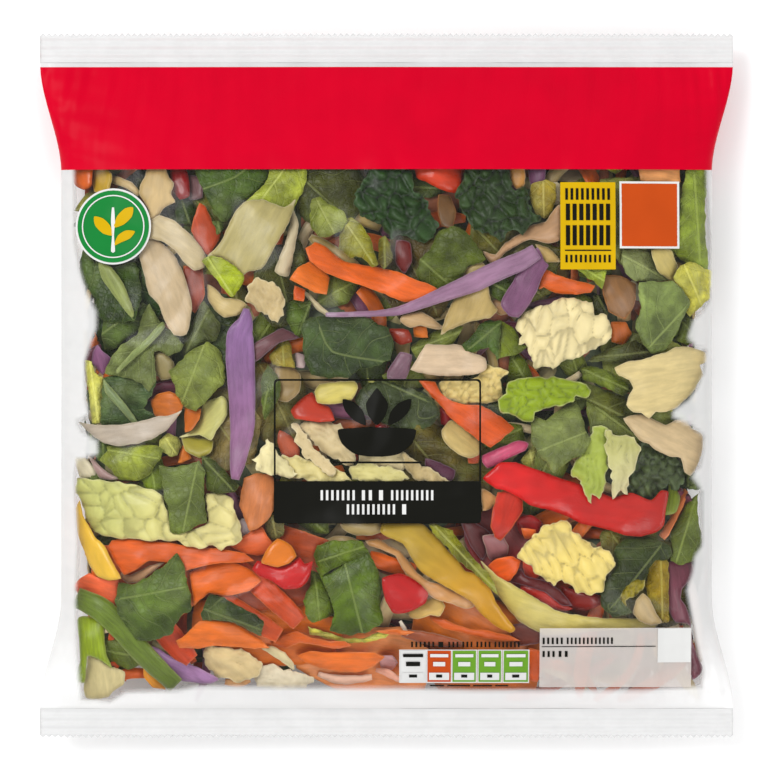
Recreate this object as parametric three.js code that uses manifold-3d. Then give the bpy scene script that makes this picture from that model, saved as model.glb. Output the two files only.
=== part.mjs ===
// A sealed clear-film pillow bag packed with cut stir-fry vegetables, lying on its back, face up.
// Millimetres. +X is the bag's right, +Y its head, +Z up. The origin is under the middle of the bag,
// on the surface that it lies on.
import * as THREE from "three";
import { mergeVertices } from "three/addons/utils/BufferGeometryUtils.js";
import Module from "manifold-3d";

// Driving dimensions of the bag.
const BAG_LENGTH = 254; // over the tips of the teeth
const SEAL_WIDTH = 250; // width of the flattened film tube
const BODY_WIDTH = 234.4; // the tube narrows as it fills out
const BAG_HEIGHT = 45; // smooth form, without the lumps
const SEAL_DEPTH = 10.5; // from the tips of the teeth to where the bag opens
const SHOULDER = 40; // length over which the tube narrows
const END_SKIN = 0.45; // half of the thickness of a seal
const SEAL_HEIGHT = 12; // of the seals above the surface
const EDGE_HEIGHT = 17; // of the side folds of the filled tube
const SEAL_WAVE = { height: 1.1, length: 190, phase: 0.7 }; // rise and fall along a seal

// The crimped and toothed ends.
const RIB_PITCH = 3;
const RIB_HEIGHT = 0.3;
const TEETH = 114;
const TOOTH_DEPTH = 1;

// How the filling fills the tube: it is packed against the foot and slackens towards the head.
const FOOT_RISE = 44;
const HEAD_RISE = 92;
const BED_RISE = 40; // length over which the underside comes down onto the surface
const BED_PRESS = 1.05; // over 1, so that the underside lies flat and not only touches
const RISE_POWER = 0.8;
const TOP_SQUARENESS = 2.8;
const BED_SQUARENESS = 4;

// Lumps where pieces of vegetable press the film out. Their mean height is taken off the crown.
const LUMPS = 150;
const LUMP_HEIGHT = [0.5, 2.6];
const LUMP_LENGTH = [11, 24];
const LUMP_WIDTH = [5, 10];
const LUMP_MEAN = 0.8;
const LUMP_FALL = 1.4;
const LUMP_SEED = 41;
const LUMP_FIELD = { x: [-0.46, 0.46], y: [-0.44, 0.36] }; // parts of the width and the length

// Pleats that run in from the seals.
const PLEAT_HEIGHT = 0.9;
const PLEAT_LENGTHS = [17, 29];
const PLEAT_PHASE = 1.3;
const PLEAT_START = 8;
const PLEAT_REACH = 24;

// Grid of the skin.
const COLUMNS = 40;
const BODY_ROWS = 36;
const SEAL_ROWS = 7;
const ROW_BUNCHING = 0.6; // of the body's rows towards its ends

const halfLength = BAG_LENGTH / 2;
const sealStart = halfLength - SEAL_DEPTH;
const clamp01 = (t) => Math.min(1, Math.max(0, t));
const smooth = (t) => t * t * (3 - 2 * t);
const mix = (a, b, t) => a + (b - a) * t;

// A small repeatable source of numbers from 0 to 1.
function numbers(seed) {
  let state = seed;
  return () => {
    state = (state * 16807) % 2147483647;
    return state / 2147483647;
  };
}

const draw = numbers(LUMP_SEED);
const lumps = Array.from({ length: LUMPS }, () => ({
  x: mix(...LUMP_FIELD.x, draw()) * BODY_WIDTH,
  y: mix(...LUMP_FIELD.y, draw()) * BAG_LENGTH,
  angle: draw() * Math.PI,
  length: mix(...LUMP_LENGTH, draw()),
  width: mix(...LUMP_WIDTH, draw()),
  height: mix(...LUMP_HEIGHT, draw()),
}));

// How far the lumps stand out at a place.
function lumpHeight(x, y) {
  let sum = -LUMP_MEAN;
  for (const lump of lumps) {
    const dx = x - lump.x;
    const dy = y - lump.y;
    const along = (dx * Math.cos(lump.angle) + dy * Math.sin(lump.angle)) / lump.length;
    const aside = (dy * Math.cos(lump.angle) - dx * Math.sin(lump.angle)) / lump.width;
    sum += lump.height * Math.exp(-LUMP_FALL * (along * along + aside * aside));
  }
  return sum;
}

// Distance from the nearer seal's inner edge, negative within the seal.
const intoBody = (y) => sealStart - Math.abs(y);
const shoulder = (y) => smooth(clamp01(intoBody(y) / SHOULDER));
const halfWidth = (y) => mix(SEAL_WIDTH, BODY_WIDTH, shoulder(y)) / 2;

// From 0 at a seal to 1 where the bag is full, and from 0 at a side fold to 1 in the middle.
const rise = (y, length) => Math.sin((clamp01(intoBody(y) / length) * Math.PI) / 2) ** RISE_POWER;
const bulge = (u, squareness) => Math.sqrt(Math.max(0, 1 - Math.abs(u) ** squareness));

function pleat(x, y) {
  const d = intoBody(y);
  if (d <= 0) return 0;
  let shape = 0;
  PLEAT_LENGTHS.forEach((length, i) => {
    shape += Math.sin((2 * Math.PI * x) / length + PLEAT_PHASE * i + Math.sign(y)) / PLEAT_LENGTHS.length;
  });
  const fade = Math.exp(-d / PLEAT_REACH) * clamp01(d / PLEAT_START);
  return PLEAT_HEIGHT * shape * fade * bulge(x / halfWidth(y), 2);
}

// Height of the side fold or the seal line, where the upper and the lower film meet.
function seamHeight(x, y) {
  const wave = Math.sin((2 * Math.PI * x) / SEAL_WAVE.length + SEAL_WAVE.phase + Math.sign(y));
  return mix(SEAL_HEIGHT + SEAL_WAVE.height * wave, EDGE_HEIGHT, shoulder(y));
}

// The crimp's ribs run along the seal.
const rib = (y) => (intoBody(y) < 0 ? RIB_HEIGHT * Math.cos((2 * Math.PI * intoBody(y)) / RIB_PITCH) : 0);

function upperFilm(x, y) {
  const full = rise(y, y > 0 ? HEAD_RISE : FOOT_RISE) * bulge(x / halfWidth(y), TOP_SQUARENESS);
  const crown = (BAG_HEIGHT - EDGE_HEIGHT + lumpHeight(x, y)) * full;
  return seamHeight(x, y) + END_SKIN + rib(y) + crown + pleat(x, y);
}

function lowerFilm(x, y) {
  const full = rise(y, BED_RISE) * bulge(x / halfWidth(y), BED_SQUARENESS);
  const down = (seamHeight(x, y) + END_SKIN) * Math.min(1, BED_PRESS * full);
  return Math.max(0, seamHeight(x, y) - END_SKIN + rib(y) - down - pleat(x, y) * (1 - full));
}

// Where a row of the grid lies: closely spaced over the crimped seals, wider over the body.
function rowPlace(row) {
  const fromEnd = Math.min(row, 2 * SEAL_ROWS + BODY_ROWS - row);
  const side = row < SEAL_ROWS + BODY_ROWS / 2 ? -1 : 1;
  if (fromEnd < SEAL_ROWS) return side * (halfLength - (fromEnd * SEAL_DEPTH) / SEAL_ROWS);
  const even = (2 * (row - SEAL_ROWS)) / BODY_ROWS - 1;
  return sealStart * mix(even, Math.sin((even * Math.PI) / 2), ROW_BUNCHING);
}

// The skin is a thin box whose grid is pulled onto the films.
function skinGeometry() {
  const rows = 2 * SEAL_ROWS + BODY_ROWS;
  const box = new THREE.BoxGeometry(2, rows, 2, COLUMNS, rows, 1);
  const place = box.getAttribute("position");
  for (let i = 0; i < place.count; i++) {
    const y = rowPlace(Math.round(place.getY(i) + rows / 2));
    const x = Math.sin((place.getX(i) * Math.PI) / 2) * halfWidth(y);
    place.setXYZ(i, x, y, place.getZ(i) > 0 ? upperFilm(x, y) : lowerFilm(x, y));
  }
  return box;
}

// What lies outside one end's row of teeth, to be cut away.
function cutterGeometry(end) {
  const past = 2; // by which it reaches past the seal
  const pitch = SEAL_WIDTH / TEETH;
  const side = SEAL_WIDTH / 2;
  const root = end * (halfLength - TOOTH_DEPTH);
  const outline = new THREE.Shape();
  outline.moveTo(-side - past, end * (halfLength + past));
  outline.lineTo(-side - past, root);
  for (let i = 0; i < TEETH; i++) {
    outline.lineTo(-side + i * pitch, root);
    outline.lineTo(-side + (i + 0.5) * pitch, end * halfLength);
  }
  outline.lineTo(side, root);
  outline.lineTo(side + past, root);
  outline.lineTo(side + past, end * (halfLength + past));
  return new THREE.ExtrudeGeometry(outline, { depth: 2 * SEAL_HEIGHT, bevelEnabled: false });
}

const wasm = await Module();
wasm.setup();

function solidOf(geometry) {
  const bare = geometry.clone();
  bare.deleteAttribute("normal");
  bare.deleteAttribute("uv");
  const merged = mergeVertices(bare, 1e-4);
  return new wasm.Manifold(
    new wasm.Mesh({
      numProp: 3,
      vertProperties: new Float32Array(merged.getAttribute("position").array),
      triVerts: new Uint32Array(merged.index.array),
    }),
  );
}

function geometryOf(solid) {
  const mesh = solid.getMesh();
  const geometry = new THREE.BufferGeometry();
  geometry.setAttribute("position", new THREE.BufferAttribute(mesh.vertProperties, 3));
  geometry.setIndex(new THREE.BufferAttribute(mesh.triVerts, 1));
  geometry.computeVertexNormals();
  return geometry;
}

function makeBag() {
  let solid = solidOf(skinGeometry());
  for (const end of [-1, 1]) solid = solid.subtract(solidOf(cutterGeometry(end)));
  const film = new THREE.MeshStandardMaterial({ color: 0x9fae6c, roughness: 0.25, metalness: 0 });
  const bag = new THREE.Mesh(geometryOf(solid), film);
  bag.name = "bag";
  return bag;
}

const model = new THREE.Group();
model.add(makeBag());

export default model;
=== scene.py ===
"""A sealed pillow bag of cut stir-fry vegetables: its clear film, its print and the pieces in it.

Lengths are in millimetres until a mesh is made. The bag lies face up, +X to its right, +Y to its head.
"""
import math

import bpy
import numpy as np
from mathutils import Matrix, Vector, geometry


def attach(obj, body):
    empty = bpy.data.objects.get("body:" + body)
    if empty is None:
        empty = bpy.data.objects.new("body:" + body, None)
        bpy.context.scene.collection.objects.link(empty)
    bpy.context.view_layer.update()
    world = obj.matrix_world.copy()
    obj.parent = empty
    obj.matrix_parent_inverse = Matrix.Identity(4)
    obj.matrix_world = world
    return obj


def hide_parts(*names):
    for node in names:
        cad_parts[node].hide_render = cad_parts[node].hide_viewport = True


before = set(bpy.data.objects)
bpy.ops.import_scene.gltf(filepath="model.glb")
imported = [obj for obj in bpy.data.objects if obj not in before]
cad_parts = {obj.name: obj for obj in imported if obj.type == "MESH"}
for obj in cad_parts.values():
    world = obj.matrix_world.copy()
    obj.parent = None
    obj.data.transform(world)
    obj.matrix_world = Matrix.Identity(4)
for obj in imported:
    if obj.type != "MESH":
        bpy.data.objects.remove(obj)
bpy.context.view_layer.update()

# The photograph's scale and the pixel over the bag's middle.
MM_PER_PX = 0.36
MIDDLE_PX = (386.5, 385.5)
PHOTO_PX = 768

# The bag's form, as in its solid.
BAG_LENGTH = 254.0
SEAL_WIDTH = 250.0
BODY_WIDTH = 234.4
BAG_HEIGHT = 45.0
SEAL_DEPTH = 10.5
SHOULDER = 40.0
END_SKIN = 0.45
SEAL_HEIGHT = 12.0
EDGE_HEIGHT = 17.0
SEAL_WAVE = {"height": 1.1, "length": 190.0, "phase": 0.7}
RIB_PITCH = 3.0
TEETH = 114
TOOTH_DEPTH = 1.0
FOOT_RISE = 44.0
HEAD_RISE = 92.0
BED_RISE = 40.0
BED_PRESS = 1.05
RISE_POWER = 0.8
TOP_SQUARENESS = 2.8
BED_SQUARENESS = 4.0
LUMPS = 150
LUMP_HEIGHT = (0.5, 2.6)
LUMP_LENGTH = (11.0, 24.0)
LUMP_WIDTH = (5.0, 10.0)
LUMP_MEAN = 0.8
LUMP_FALL = 1.4
LUMP_SEED = 41
LUMP_FIELD = ((-0.46, 0.46), (-0.44, 0.36))
PLEAT_HEIGHT = 0.9
PLEAT_LENGTHS = (17.0, 29.0)
PLEAT_PHASE = 1.3
PLEAT_START = 8.0
PLEAT_REACH = 24.0

HALF_LENGTH = BAG_LENGTH / 2
SEAL_START = HALF_LENGTH - SEAL_DEPTH


def spot(px, py):
    """Where a pixel of the photograph lies on the bag, seen from above."""
    return (px - MIDDLE_PX[0]) * MM_PER_PX, (MIDDLE_PX[1] - py) * MM_PER_PX


def spots(text):
    """The places of a list of pixels written as "x,y x,y"."""
    return np.array([spot(*map(float, pair.split(","))) for pair in text.split()])


# ---------------------------------------------------------------- the form of the film


def smooth(t):
    """From 0 to 1 with a soft start and end, for t from 0 to 1."""
    t = np.clip(t, 0, 1)
    return t * t * (3 - 2 * t)


def mix(a, b, t):
    """The value t of the way from a to b."""
    return a + (b - a) * t


# The multiplier and the modulus of the repeatable numbers.
DRAW_STEP = 16807
DRAW_RANGE = 2147483647


def numbers(seed):
    """A small repeatable source of numbers from 0 to 1."""
    state = seed
    while True:
        state = state * DRAW_STEP % DRAW_RANGE
        yield state / DRAW_RANGE


def make_lumps():
    """The place, angle, length, width and height of each lump, in the same order as in the solid."""
    draw = numbers(LUMP_SEED)
    rows = []
    for _ in range(LUMPS):
        x = mix(*LUMP_FIELD[0], next(draw)) * BODY_WIDTH
        y = mix(*LUMP_FIELD[1], next(draw)) * BAG_LENGTH
        angle = next(draw) * math.pi
        length = mix(*LUMP_LENGTH, next(draw))
        width = mix(*LUMP_WIDTH, next(draw))
        rows.append((x, y, angle, length, width, mix(*LUMP_HEIGHT, next(draw))))
    return rows


LUMP_ROWS = make_lumps()


def lump_height(x, y):
    """How far the lumps stand out at a place."""
    total = np.full(np.shape(x), -LUMP_MEAN)
    for lump_x, lump_y, angle, length, width, height in LUMP_ROWS:
        dx, dy = x - lump_x, y - lump_y
        along = (dx * math.cos(angle) + dy * math.sin(angle)) / length
        aside = (dy * math.cos(angle) - dx * math.sin(angle)) / width
        total += height * np.exp(-LUMP_FALL * (along * along + aside * aside))
    return total


def into_body(y):
    """Distance from the nearer seal's inner edge, negative within the seal."""
    return SEAL_START - np.abs(y)


def shoulder(y):
    """From 0 at a seal to 1 where the tube is at its narrowest."""
    return smooth(into_body(y) / SHOULDER)


def half_width(y):
    """Half of the tube's width at a place along it."""
    return mix(SEAL_WIDTH, BODY_WIDTH, shoulder(y)) / 2


def rise(y, length):
    """From 0 at a seal to 1 where the bag is full."""
    return np.sin(np.clip(into_body(y) / length, 0, 1) * math.pi / 2) ** RISE_POWER


def bulge(u, squareness):
    """From 0 at a side fold (u is 1 or -1) to 1 in the middle."""
    return np.sqrt(np.clip(1 - np.abs(u) ** squareness, 0, None))


def pleat(x, y):
    """Height of the pleats that run in from the seals."""
    d = np.clip(into_body(y), 0, None)
    shape = sum(
        np.sin(2 * math.pi * x / length + PLEAT_PHASE * i + np.sign(y)) / len(PLEAT_LENGTHS)
        for i, length in enumerate(PLEAT_LENGTHS)
    )
    fade = np.exp(-d / PLEAT_REACH) * np.clip(d / PLEAT_START, 0, 1)
    return PLEAT_HEIGHT * shape * fade * bulge(x / half_width(y), 2)


def seam_height(x, y):
    """Height of the side fold or the seal, where the upper and the under side meet."""
    wave = np.sin(2 * math.pi * x / SEAL_WAVE["length"] + SEAL_WAVE["phase"] + np.sign(y))
    return mix(SEAL_HEIGHT + SEAL_WAVE["height"] * wave, EDGE_HEIGHT, shoulder(y))


def top_fullness(x, y):
    """How far the upper side has risen: 0 at its edges and 1 on its crown."""
    length = np.where(np.asarray(y) > 0, HEAD_RISE, FOOT_RISE)
    return rise(y, length) * bulge(x / half_width(y), TOP_SQUARENESS)


def upper_form(x, y):
    """The upper side without its lumps."""
    return seam_height(x, y) + (BAG_HEIGHT - EDGE_HEIGHT) * top_fullness(x, y) + pleat(x, y)


def lower_form(x, y):
    """The under side, flat where the bag lies on it."""
    full = rise(y, BED_RISE) * bulge(x / half_width(y), BED_SQUARENESS)
    down = seam_height(x, y) * np.minimum(1, BED_PRESS * full)
    return np.clip(seam_height(x, y) - down - pleat(x, y) * (1 - full), 0, None)


# ---------------------------------------------------------------- the pieces, read off the photograph

# Each row is a kind, its colour as seen through the film, its outline in pixels and, where one shows, the
# line of its midrib. A colour is the piece's own colour with the light and shade on it painted in, so that
# pieces lying deeper are darker by painted shade. A second colour is the one at the midrib's far end. Three
# numbers at a point mean a strip: a place on its middle line and its width there.
# The uppermost come first: each piece is pushed up against what lies over it.
PIECES = [
    # The big red cabbage shreds and what else lies over everything.
    ("cabbage", (140, 106, 152), "247,309,6 246,322,16 241,335,26 241,355,29 242,380,28 243,405,26"
     " 243,430,24 240,450,19 238,465,15 236,479,8", "", (150, 108, 142)),
    ("cabbage", (158, 122, 150), "326,315,4 340,315,5 375,314,6 400,311,9 425,302,12 450,292,16 475,282,20"
     " 500,270,20 520,262,19 536,252,16", ""),
    ("cabbage", (133, 92, 124), "537,248 544,262 548,266 541,278 536,292 527,307 518,318 508,316 500,306"
     " 502,298 512,282 518,270 523,258", ""),
    ("onion", (188, 174, 158), "79,422 90,424 105,425 125,424 145,420 160,416 172,415 183,410 176,420"
     " 168,430 155,438 140,443 120,446 105,443 95,437 87,430", ""),
    ("leaf", (112, 126, 72), "160,465 175,467 190,464 200,460 206,470 205,490 206,505 208,522 200,524"
     " 190,530 180,534 172,532 170,524 170,515 168,505 165,495 164,485 162,475", "198,464 184,530"),
    ("leaf", (85, 95, 60), "203,456 210,456 220,465 232,477 240,485 235,492 220,493 208,490 205,475"
     " 203,465", "206,460 232,488"),
    # Light leaves, and the carrot ribbon across the upper middle.
    ("pale", (118, 128, 58), "312,200 320,197 326,202 335,208 344,212 348,222 342,232 330,237 320,238"
     " 312,230 310,215", "318,203 335,235"),
    ("pale", (140, 136, 54), "340,222 352,218 362,226 370,238 374,250 378,265 372,268 362,258 350,258"
     " 340,250", "345,222 372,262"),
    ("leaf", (118, 114, 30), "379,240 385,236 391,245 392,262 384,270 378,262", ""),
    ("carrot", (235, 110, 50), "306,249 315,243 325,246 335,255 345,262 360,265 380,268 400,273 415,280"
     " 430,285 440,292 425,300 405,303 385,295 365,287 345,281 325,273 310,262", ""),
    ("kale", (58, 78, 48), "355,195 362,182 380,171 400,170 412,178 415,190 425,200 430,215 438,225"
     " 434,238 424,245 412,240 400,236 392,240 385,230 372,222 362,218 357,210", "372,175 425,240"),
    ("leaf", (94, 106, 54), "438,232 450,227 460,228 468,235 478,248 486,260 478,264 468,266 462,278"
     " 450,288 438,290 425,284 418,282 416,272 420,260 430,250", "418,258 448,284"),
    ("onion", (188, 164, 110), "463,272 470,266 482,263 487,270 488,288 490,300 497,310 490,318 470,322"
     " 450,330 440,335 448,310 455,298 465,290", "478,266 452,328"),
    ("kale", (60, 76, 54), "470,171 505,171 510,180 515,192 522,188 529,190 528,205 535,216 541,219"
     " 530,225 522,236 514,231 508,234 500,242 490,235 480,232 470,225 462,210 455,195 462,180",
     "472,172 520,230"),
    ("onion", (190, 150, 115), "560,205 560,240 545,244 530,240 515,247 503,255 495,265 488,262 483,252"
     " 495,255 505,243 520,234 530,226 545,222 552,212", ""),
    ("pale", (170, 150, 70), "530,185 545,180 555,185 556,200 552,212 545,220 535,214 529,200", ""),
    # The pale crinkled chunks and the bright savoy at the right.
    ("chunk", (240, 224, 172), "515,328 518,320 528,312 535,308 548,305 556,300 570,298 582,300 591,303"
     " 594,315 600,313 608,318 610,330 611,338 603,345 595,350 578,357 566,360 558,365 552,371 550,367"
     " 535,368 530,360 528,350 524,344 518,345 520,336", "562,300 548,366"),
    ("savoy", (150, 172, 52), "497,400 505,393 508,382 520,378 535,377 550,377 570,380 585,384 590,390"
     " 588,398 575,396 572,402 558,406 545,408 535,413 532,422 522,421 515,416 508,414 500,412", ""),
    ("leaf", (125, 135, 85), "532,415 545,420 555,412 565,405 575,402 580,412 585,430 590,440 585,452"
     " 570,460 560,467 553,473 545,462 535,450 530,440 530,425", "585,432 540,450"),
    ("heart", (194, 192, 126), "605,430 612,433 625,435 633,437 640,450 637,460 630,475 626,493 620,490"
     " 612,498 610,480 607,462 603,448", "612,436 618,494", (214, 206, 158)),
    ("heart", (172, 186, 92), "592,427 600,425 608,431 609,446 607,460 606,470 603,490 598,498 592,496"
     " 590,502 582,492 580,480 570,475 572,465 580,452 588,440", "600,430 588,498"),
    ("chunk", (238, 216, 132), "517,557 520,547 530,537 540,527 552,522 563,519 570,525 573,532 582,537"
     " 590,545 600,546 608,550 615,562 610,570 603,578 605,590 595,592 588,594 575,590 567,582 558,580"
     " 553,585 545,578 535,572 528,563", "545,524 590,592"),
    ("leaf", (76, 96, 10), "462,345 472,335 480,325 490,320 500,322 499,345 497,360 488,348 475,352"
     " 465,352", "500,323 470,348"),
    ("leaf", (110, 122, 44), "500,320 515,330 520,343 527,347 515,355 500,358 495,360 498,340",
     "500,325 498,358"),
    ("onion", (220, 195, 165), "425,345 440,345 460,345 470,352 485,358 486,368 478,374 460,376 440,376"
     " 420,373 410,370 415,362", ""),
    ("onion", (225, 205, 150), "613,368 625,362 640,360 655,355 665,352 675,347 690,347 705,352 707,362"
     " 700,365 703,375 697,385 690,395 682,402 675,408 665,412 655,412 648,418 640,413 632,412 625,405"
     " 628,395 632,388 628,380 618,376", "615,372 704,356"),
    ("onion", (215, 190, 150), "622,418 640,414 655,420 665,425 675,420 685,420 692,428 702,434 703,448"
     " 700,458 695,470 690,476 684,472 680,458 668,456 655,450 648,444 638,440 630,430", "624,422 700,462"),
    ("leaf", (132, 148, 90), "638,283 672,281 680,288 690,302 684,315 675,335 665,350 650,354 640,340"
     " 634,325 640,308 638,295", "650,345 683,310"),
    ("pale", (214, 208, 94), "680,266 690,262 700,266 712,272 710,298 700,308 690,317 686,312 690,302"
     " 683,292 675,282 672,278", "684,266 702,306"),
    ("onion", (218, 198, 126), "650,250 670,250 676,262 678,268 672,280 665,278 656,270", ""),
    ("leaf", (146, 164, 74), "690,171 706,171 707,190 705,210 706,240 709,262 707,272 697,268 683,262"
     " 672,250 676,240 680,205 682,188", "694,175 700,262"),
    ("leaf", (146, 154, 104), "622,250 640,250 655,255 660,270 668,280 650,282 635,282 625,275 620,262",
     ""),
    ("leaf", (75, 75, 50), "600,352 620,345 635,340 648,350 655,358 640,360 620,362 585,362", ""),
    ("leaf", (104, 116, 52), "581,368 590,366 605,370 618,378 628,383 630,390 622,396 610,390 595,384"
     " 582,380", "583,370 628,390"),
    ("leaf", (98, 102, 62), "575,395 582,382 600,388 624,396 624,415 610,415 600,408 585,400",
     "590,400 620,415"),
    # The red and the yellow pepper.
    ("pepper", (224, 30, 46), "482,478 490,470 500,462 515,462 530,467 545,472 560,478 580,484 600,492"
     " 612,497 630,492 650,500 660,490 668,492 665,510 663,525 655,532 640,536 625,535 610,530 595,526"
     " 580,523 565,515 550,510 530,505 520,498 505,490 495,488", "484,474 560,493 665,512", (188, 58, 60)),
    ("pale", (136, 136, 24), "428,523 440,525 452,530 462,545 475,560 488,572 495,585 498,595 490,588"
     " 480,578 468,568 458,560 448,548 440,540 432,532", ""),
    ("yellow", (190, 160, 74), "383,522 400,522 422,523 430,530 440,540 448,550 458,560 465,570 475,572"
     " 482,580 490,588 495,600 505,615 515,628 510,632 495,625 480,612 470,600 450,588 435,580 420,570"
     " 410,555 403,543 385,535 380,530", "390,524 440,556 512,630", (210, 152, 40)),
    ("pepper", (192, 38, 36), "382,577 390,574 400,572 412,577 422,585 428,592 425,602 415,608 405,612"
     " 393,612 386,600 383,590", ""),
    ("yellow", (228, 130, 60), "265,553 270,545 278,538 285,540 292,545 297,555 290,562 278,566 262,562",
     ""),
    ("pepper", (200, 44, 36), "258,560 268,562 280,566 292,562 300,556 305,563 313,560 312,568 308,580"
     " 300,587 285,588 272,580 260,575 253,568", ""),
    ("yellow", (235, 190, 80), "80,500 83,515 90,527 96,537 105,545 110,555 118,570 122,578 110,580 98,576"
     " 90,565 84,550 78,535 76,520 76,508", ""),
    # The big leaves at the foot, the stalks at the left.
    ("leaf", (100, 118, 60), "318,545 330,540 352,539 362,540 368,550 362,556 345,562 330,570 322,575"
     " 318,565 314,555", "320,560 366,545"),
    ("leaf", (92, 112, 55), "315,565 330,572 345,560 366,548 375,562 380,575 382,590 380,605 384,620"
     " 370,630 350,634 330,630 335,612 328,590", "345,562 362,630"),
    ("leaf", (100, 118, 60), "312,570 320,572 328,590 335,612 315,622 308,618 304,600 310,585",
     "315,574 320,618"),
    ("leaf", (95, 115, 65), "119,582 133,584 142,580 158,570 168,562 178,552 184,560 187,575 193,600"
     " 191,610 180,617 173,632 160,638 145,641 137,640 128,628 118,612 116,600", "122,598 186,586"),
    ("stalk", (112, 132, 66), "76,597,20 100,608,24 120,626,24 147,657,22 176,686,18", ""),
    ("stalk", (145, 165, 55), "77,620 82,616 100,618 104,622 105,640 107,655 112,668 100,660 88,656 86,670"
     " 84,683 77,682 77,672 80,660 79,640", "90,618 94,658"),
    ("onion", (215, 200, 150), "88,656 98,658 106,665 116,668 125,672 124,684 115,690 108,697 98,700"
     " 86,699 83,690 85,675", ""),
    ("leaf", (66, 78, 30), "207,598 212,593 225,597 240,605 255,613 264,620 262,635 250,630 235,622"
     " 220,619 203,620 202,612", "206,608 260,628"),
    ("savoy", (202, 203, 126), "77,478 85,478 100,480 120,482 140,485 155,490 163,495 166,505 170,518"
     " 172,530 180,533 190,530 205,525 209,518 206,500 208,493 225,493 235,500 235,510 240,520 243,535"
     " 240,542 228,545 222,549 210,545 200,548 185,545 178,540 165,540 150,540 135,538 120,538 108,536"
     " 100,534 92,530 85,515 80,500 76,490", "80,484 238,536", (226, 214, 150)),
    # Leaves and strips of the upper left.
    ("heart", (208, 186, 140), "247,290 252,282 262,279 272,283 281,290 286,300 284,312 278,322 265,315"
     " 254,308 248,300", "262,280 272,320"),
    ("carrot", (236, 124, 64), "310,262 325,272 330,278 327,295 315,293 300,285 290,280 298,268", ""),
    ("carrot", (225, 100, 45), "295,286 306,290 304,302 294,300", ""),
    ("pale", (168, 182, 62), "203,262 209,256 222,258 232,264 242,272 246,278 240,290 232,298 225,290"
     " 213,275", "208,257 234,297"),
    ("onion", (180, 168, 116), "213,252 222,242 228,228 236,212 246,202 262,200 285,208 296,200 290,222"
     " 283,235 277,245 268,262 262,270 250,272 243,276 232,264 222,258 208,257", "272,202 238,270"),
    ("pale", (165, 175, 78), "273,171 306,171 307,180 302,195 297,202 292,215 275,222 255,228 240,220"
     " 246,202 258,192 268,180", "296,171 250,216"),
    ("onion", (212, 196, 162), "293,208 299,225 296,245 289,277 275,272 285,245 290,225", ""),
    ("leaf", (80, 100, 60), "190,171 272,171 268,182 256,195 243,202 236,212 228,222 222,222 215,215"
     " 212,208 207,200 203,190", "203,190 235,178 265,172"),
    ("leaf", (78, 95, 58), "213,222 224,222 224,230 218,235", ""),
    ("onion", (196, 178, 140), "147,238 150,222 160,216 175,221 188,232 200,245 207,256 205,268 195,271"
     " 184,262 175,250 165,243 155,240", "150,230 202,264"),
    ("onion", (198, 176, 143), "140,240 150,238 165,245 175,255 183,270 190,290 193,310 188,335 175,335"
     " 165,320 160,305 150,295 145,275 140,255", "150,240 186,330"),
    ("onion", (200, 172, 122), "150,171 160,171 170,178 175,184 172,195 176,203 165,208 160,216 152,224"
     " 147,222 150,212 145,203 140,195 141,185 146,176", "158,172 150,222"),
    ("carrot", (190, 84, 62), "200,203 207,208 213,222 222,228 220,240 210,256 200,250 192,232 194,220",
     ""),
    ("stalk", (148, 158, 98), "99,263 112,267 125,285 135,312 133,318 125,310 111,291 102,278",
     "104,264 133,316"),
    ("leaf", (72, 90, 54), "84,248 80,262 82,280 92,294 97,300 95,312 105,322 135,322 142,300 140,270"
     " 135,262 110,268 95,262", "100,262 133,317"),
    # Leaves of the left middle.
    ("stalk", (134, 148, 96), "163,322 166,328 150,346 130,363 118,374 117,370 130,355 148,338",
     "164,325 118,372"),
    ("stalk", (126, 142, 102), "104,379 109,384 125,402 139,422 134,424 120,409 106,393",
     "105,381 137,423"),
    ("leaf", (120, 130, 85), "150,304 158,318 168,328 175,333 185,345 180,352 170,356 160,350 155,352"
     " 156,370 158,380 150,392 140,382 120,376 104,374 110,360 122,345 138,335 142,320 146,310",
     "160,325 122,370"),
    ("leaf", (135, 145, 80), "170,372 180,362 190,352 202,345 210,342 220,350 226,365 226,382 212,396"
     " 203,405 197,411 185,406 178,396 175,385", "205,346 184,400"),
    ("leaf", (80, 100, 70), "104,378 120,374 140,380 158,380 152,395 145,408 155,415 150,420 135,424"
     " 102,425 101,410", "105,382 138,423"),
    ("leaf", (80, 85, 65), "205,300 215,315 222,325 218,340 205,343 192,352 185,358 183,345 190,330"
     " 197,315", "210,310 188,350"),
    ("carrot", (205, 115, 60), "151,400 158,394 170,391 180,396 184,405 180,415 172,420 165,423 155,415",
     ""),
    ("carrot", (200, 110, 60), "185,407 202,409 200,420 193,430 186,432 185,420", ""),
    ("onion", (204, 200, 128), "204,403 222,396 228,400 228,415 218,430 212,440 200,435 180,437 190,432"
     " 200,420", ""),
    ("onion", (175, 165, 80), "182,436 200,438 214,440 212,452 200,458 186,450", ""),
    ("leaf", (150, 160, 75), "108,446 130,446 142,444 158,446 165,450 160,460 150,475 140,480 122,480"
     " 112,470 100,460 108,450", "108,450 158,458"),
    ("pale", (220, 216, 108), "85,360 92,362 95,372 103,378 103,395 101,423 92,423 90,400 87,380", ""),
    ("cabbage", (146, 100, 136), "98,345 104,352 112,358 110,365 103,375 98,370 92,362 93,352", ""),
    ("leaf", (85, 100, 65), "97,300 105,298 135,318 142,302 148,305 140,330 125,340 115,350 105,350"
     " 102,335 104,320 97,310", ""),
    ("leaf", (214, 212, 116), "160,440 168,433 178,437 182,445 178,455 170,456 160,450", ""),
    ("carrot", (244, 136, 54), "183,445 188,450 192,458 182,463 178,463", ""),
    ("onion", (164, 150, 108), "155,355 165,353 175,362 174,378 162,380 155,370", ""),
    ("leaf", (90, 110, 40), "97,440 108,438 112,450 108,462 98,460", ""),
    ("leaf", (118, 136, 60), "140,455 158,452 166,468 164,490 150,492 140,478", ""),
    # The centre, under the printed frame.
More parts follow.
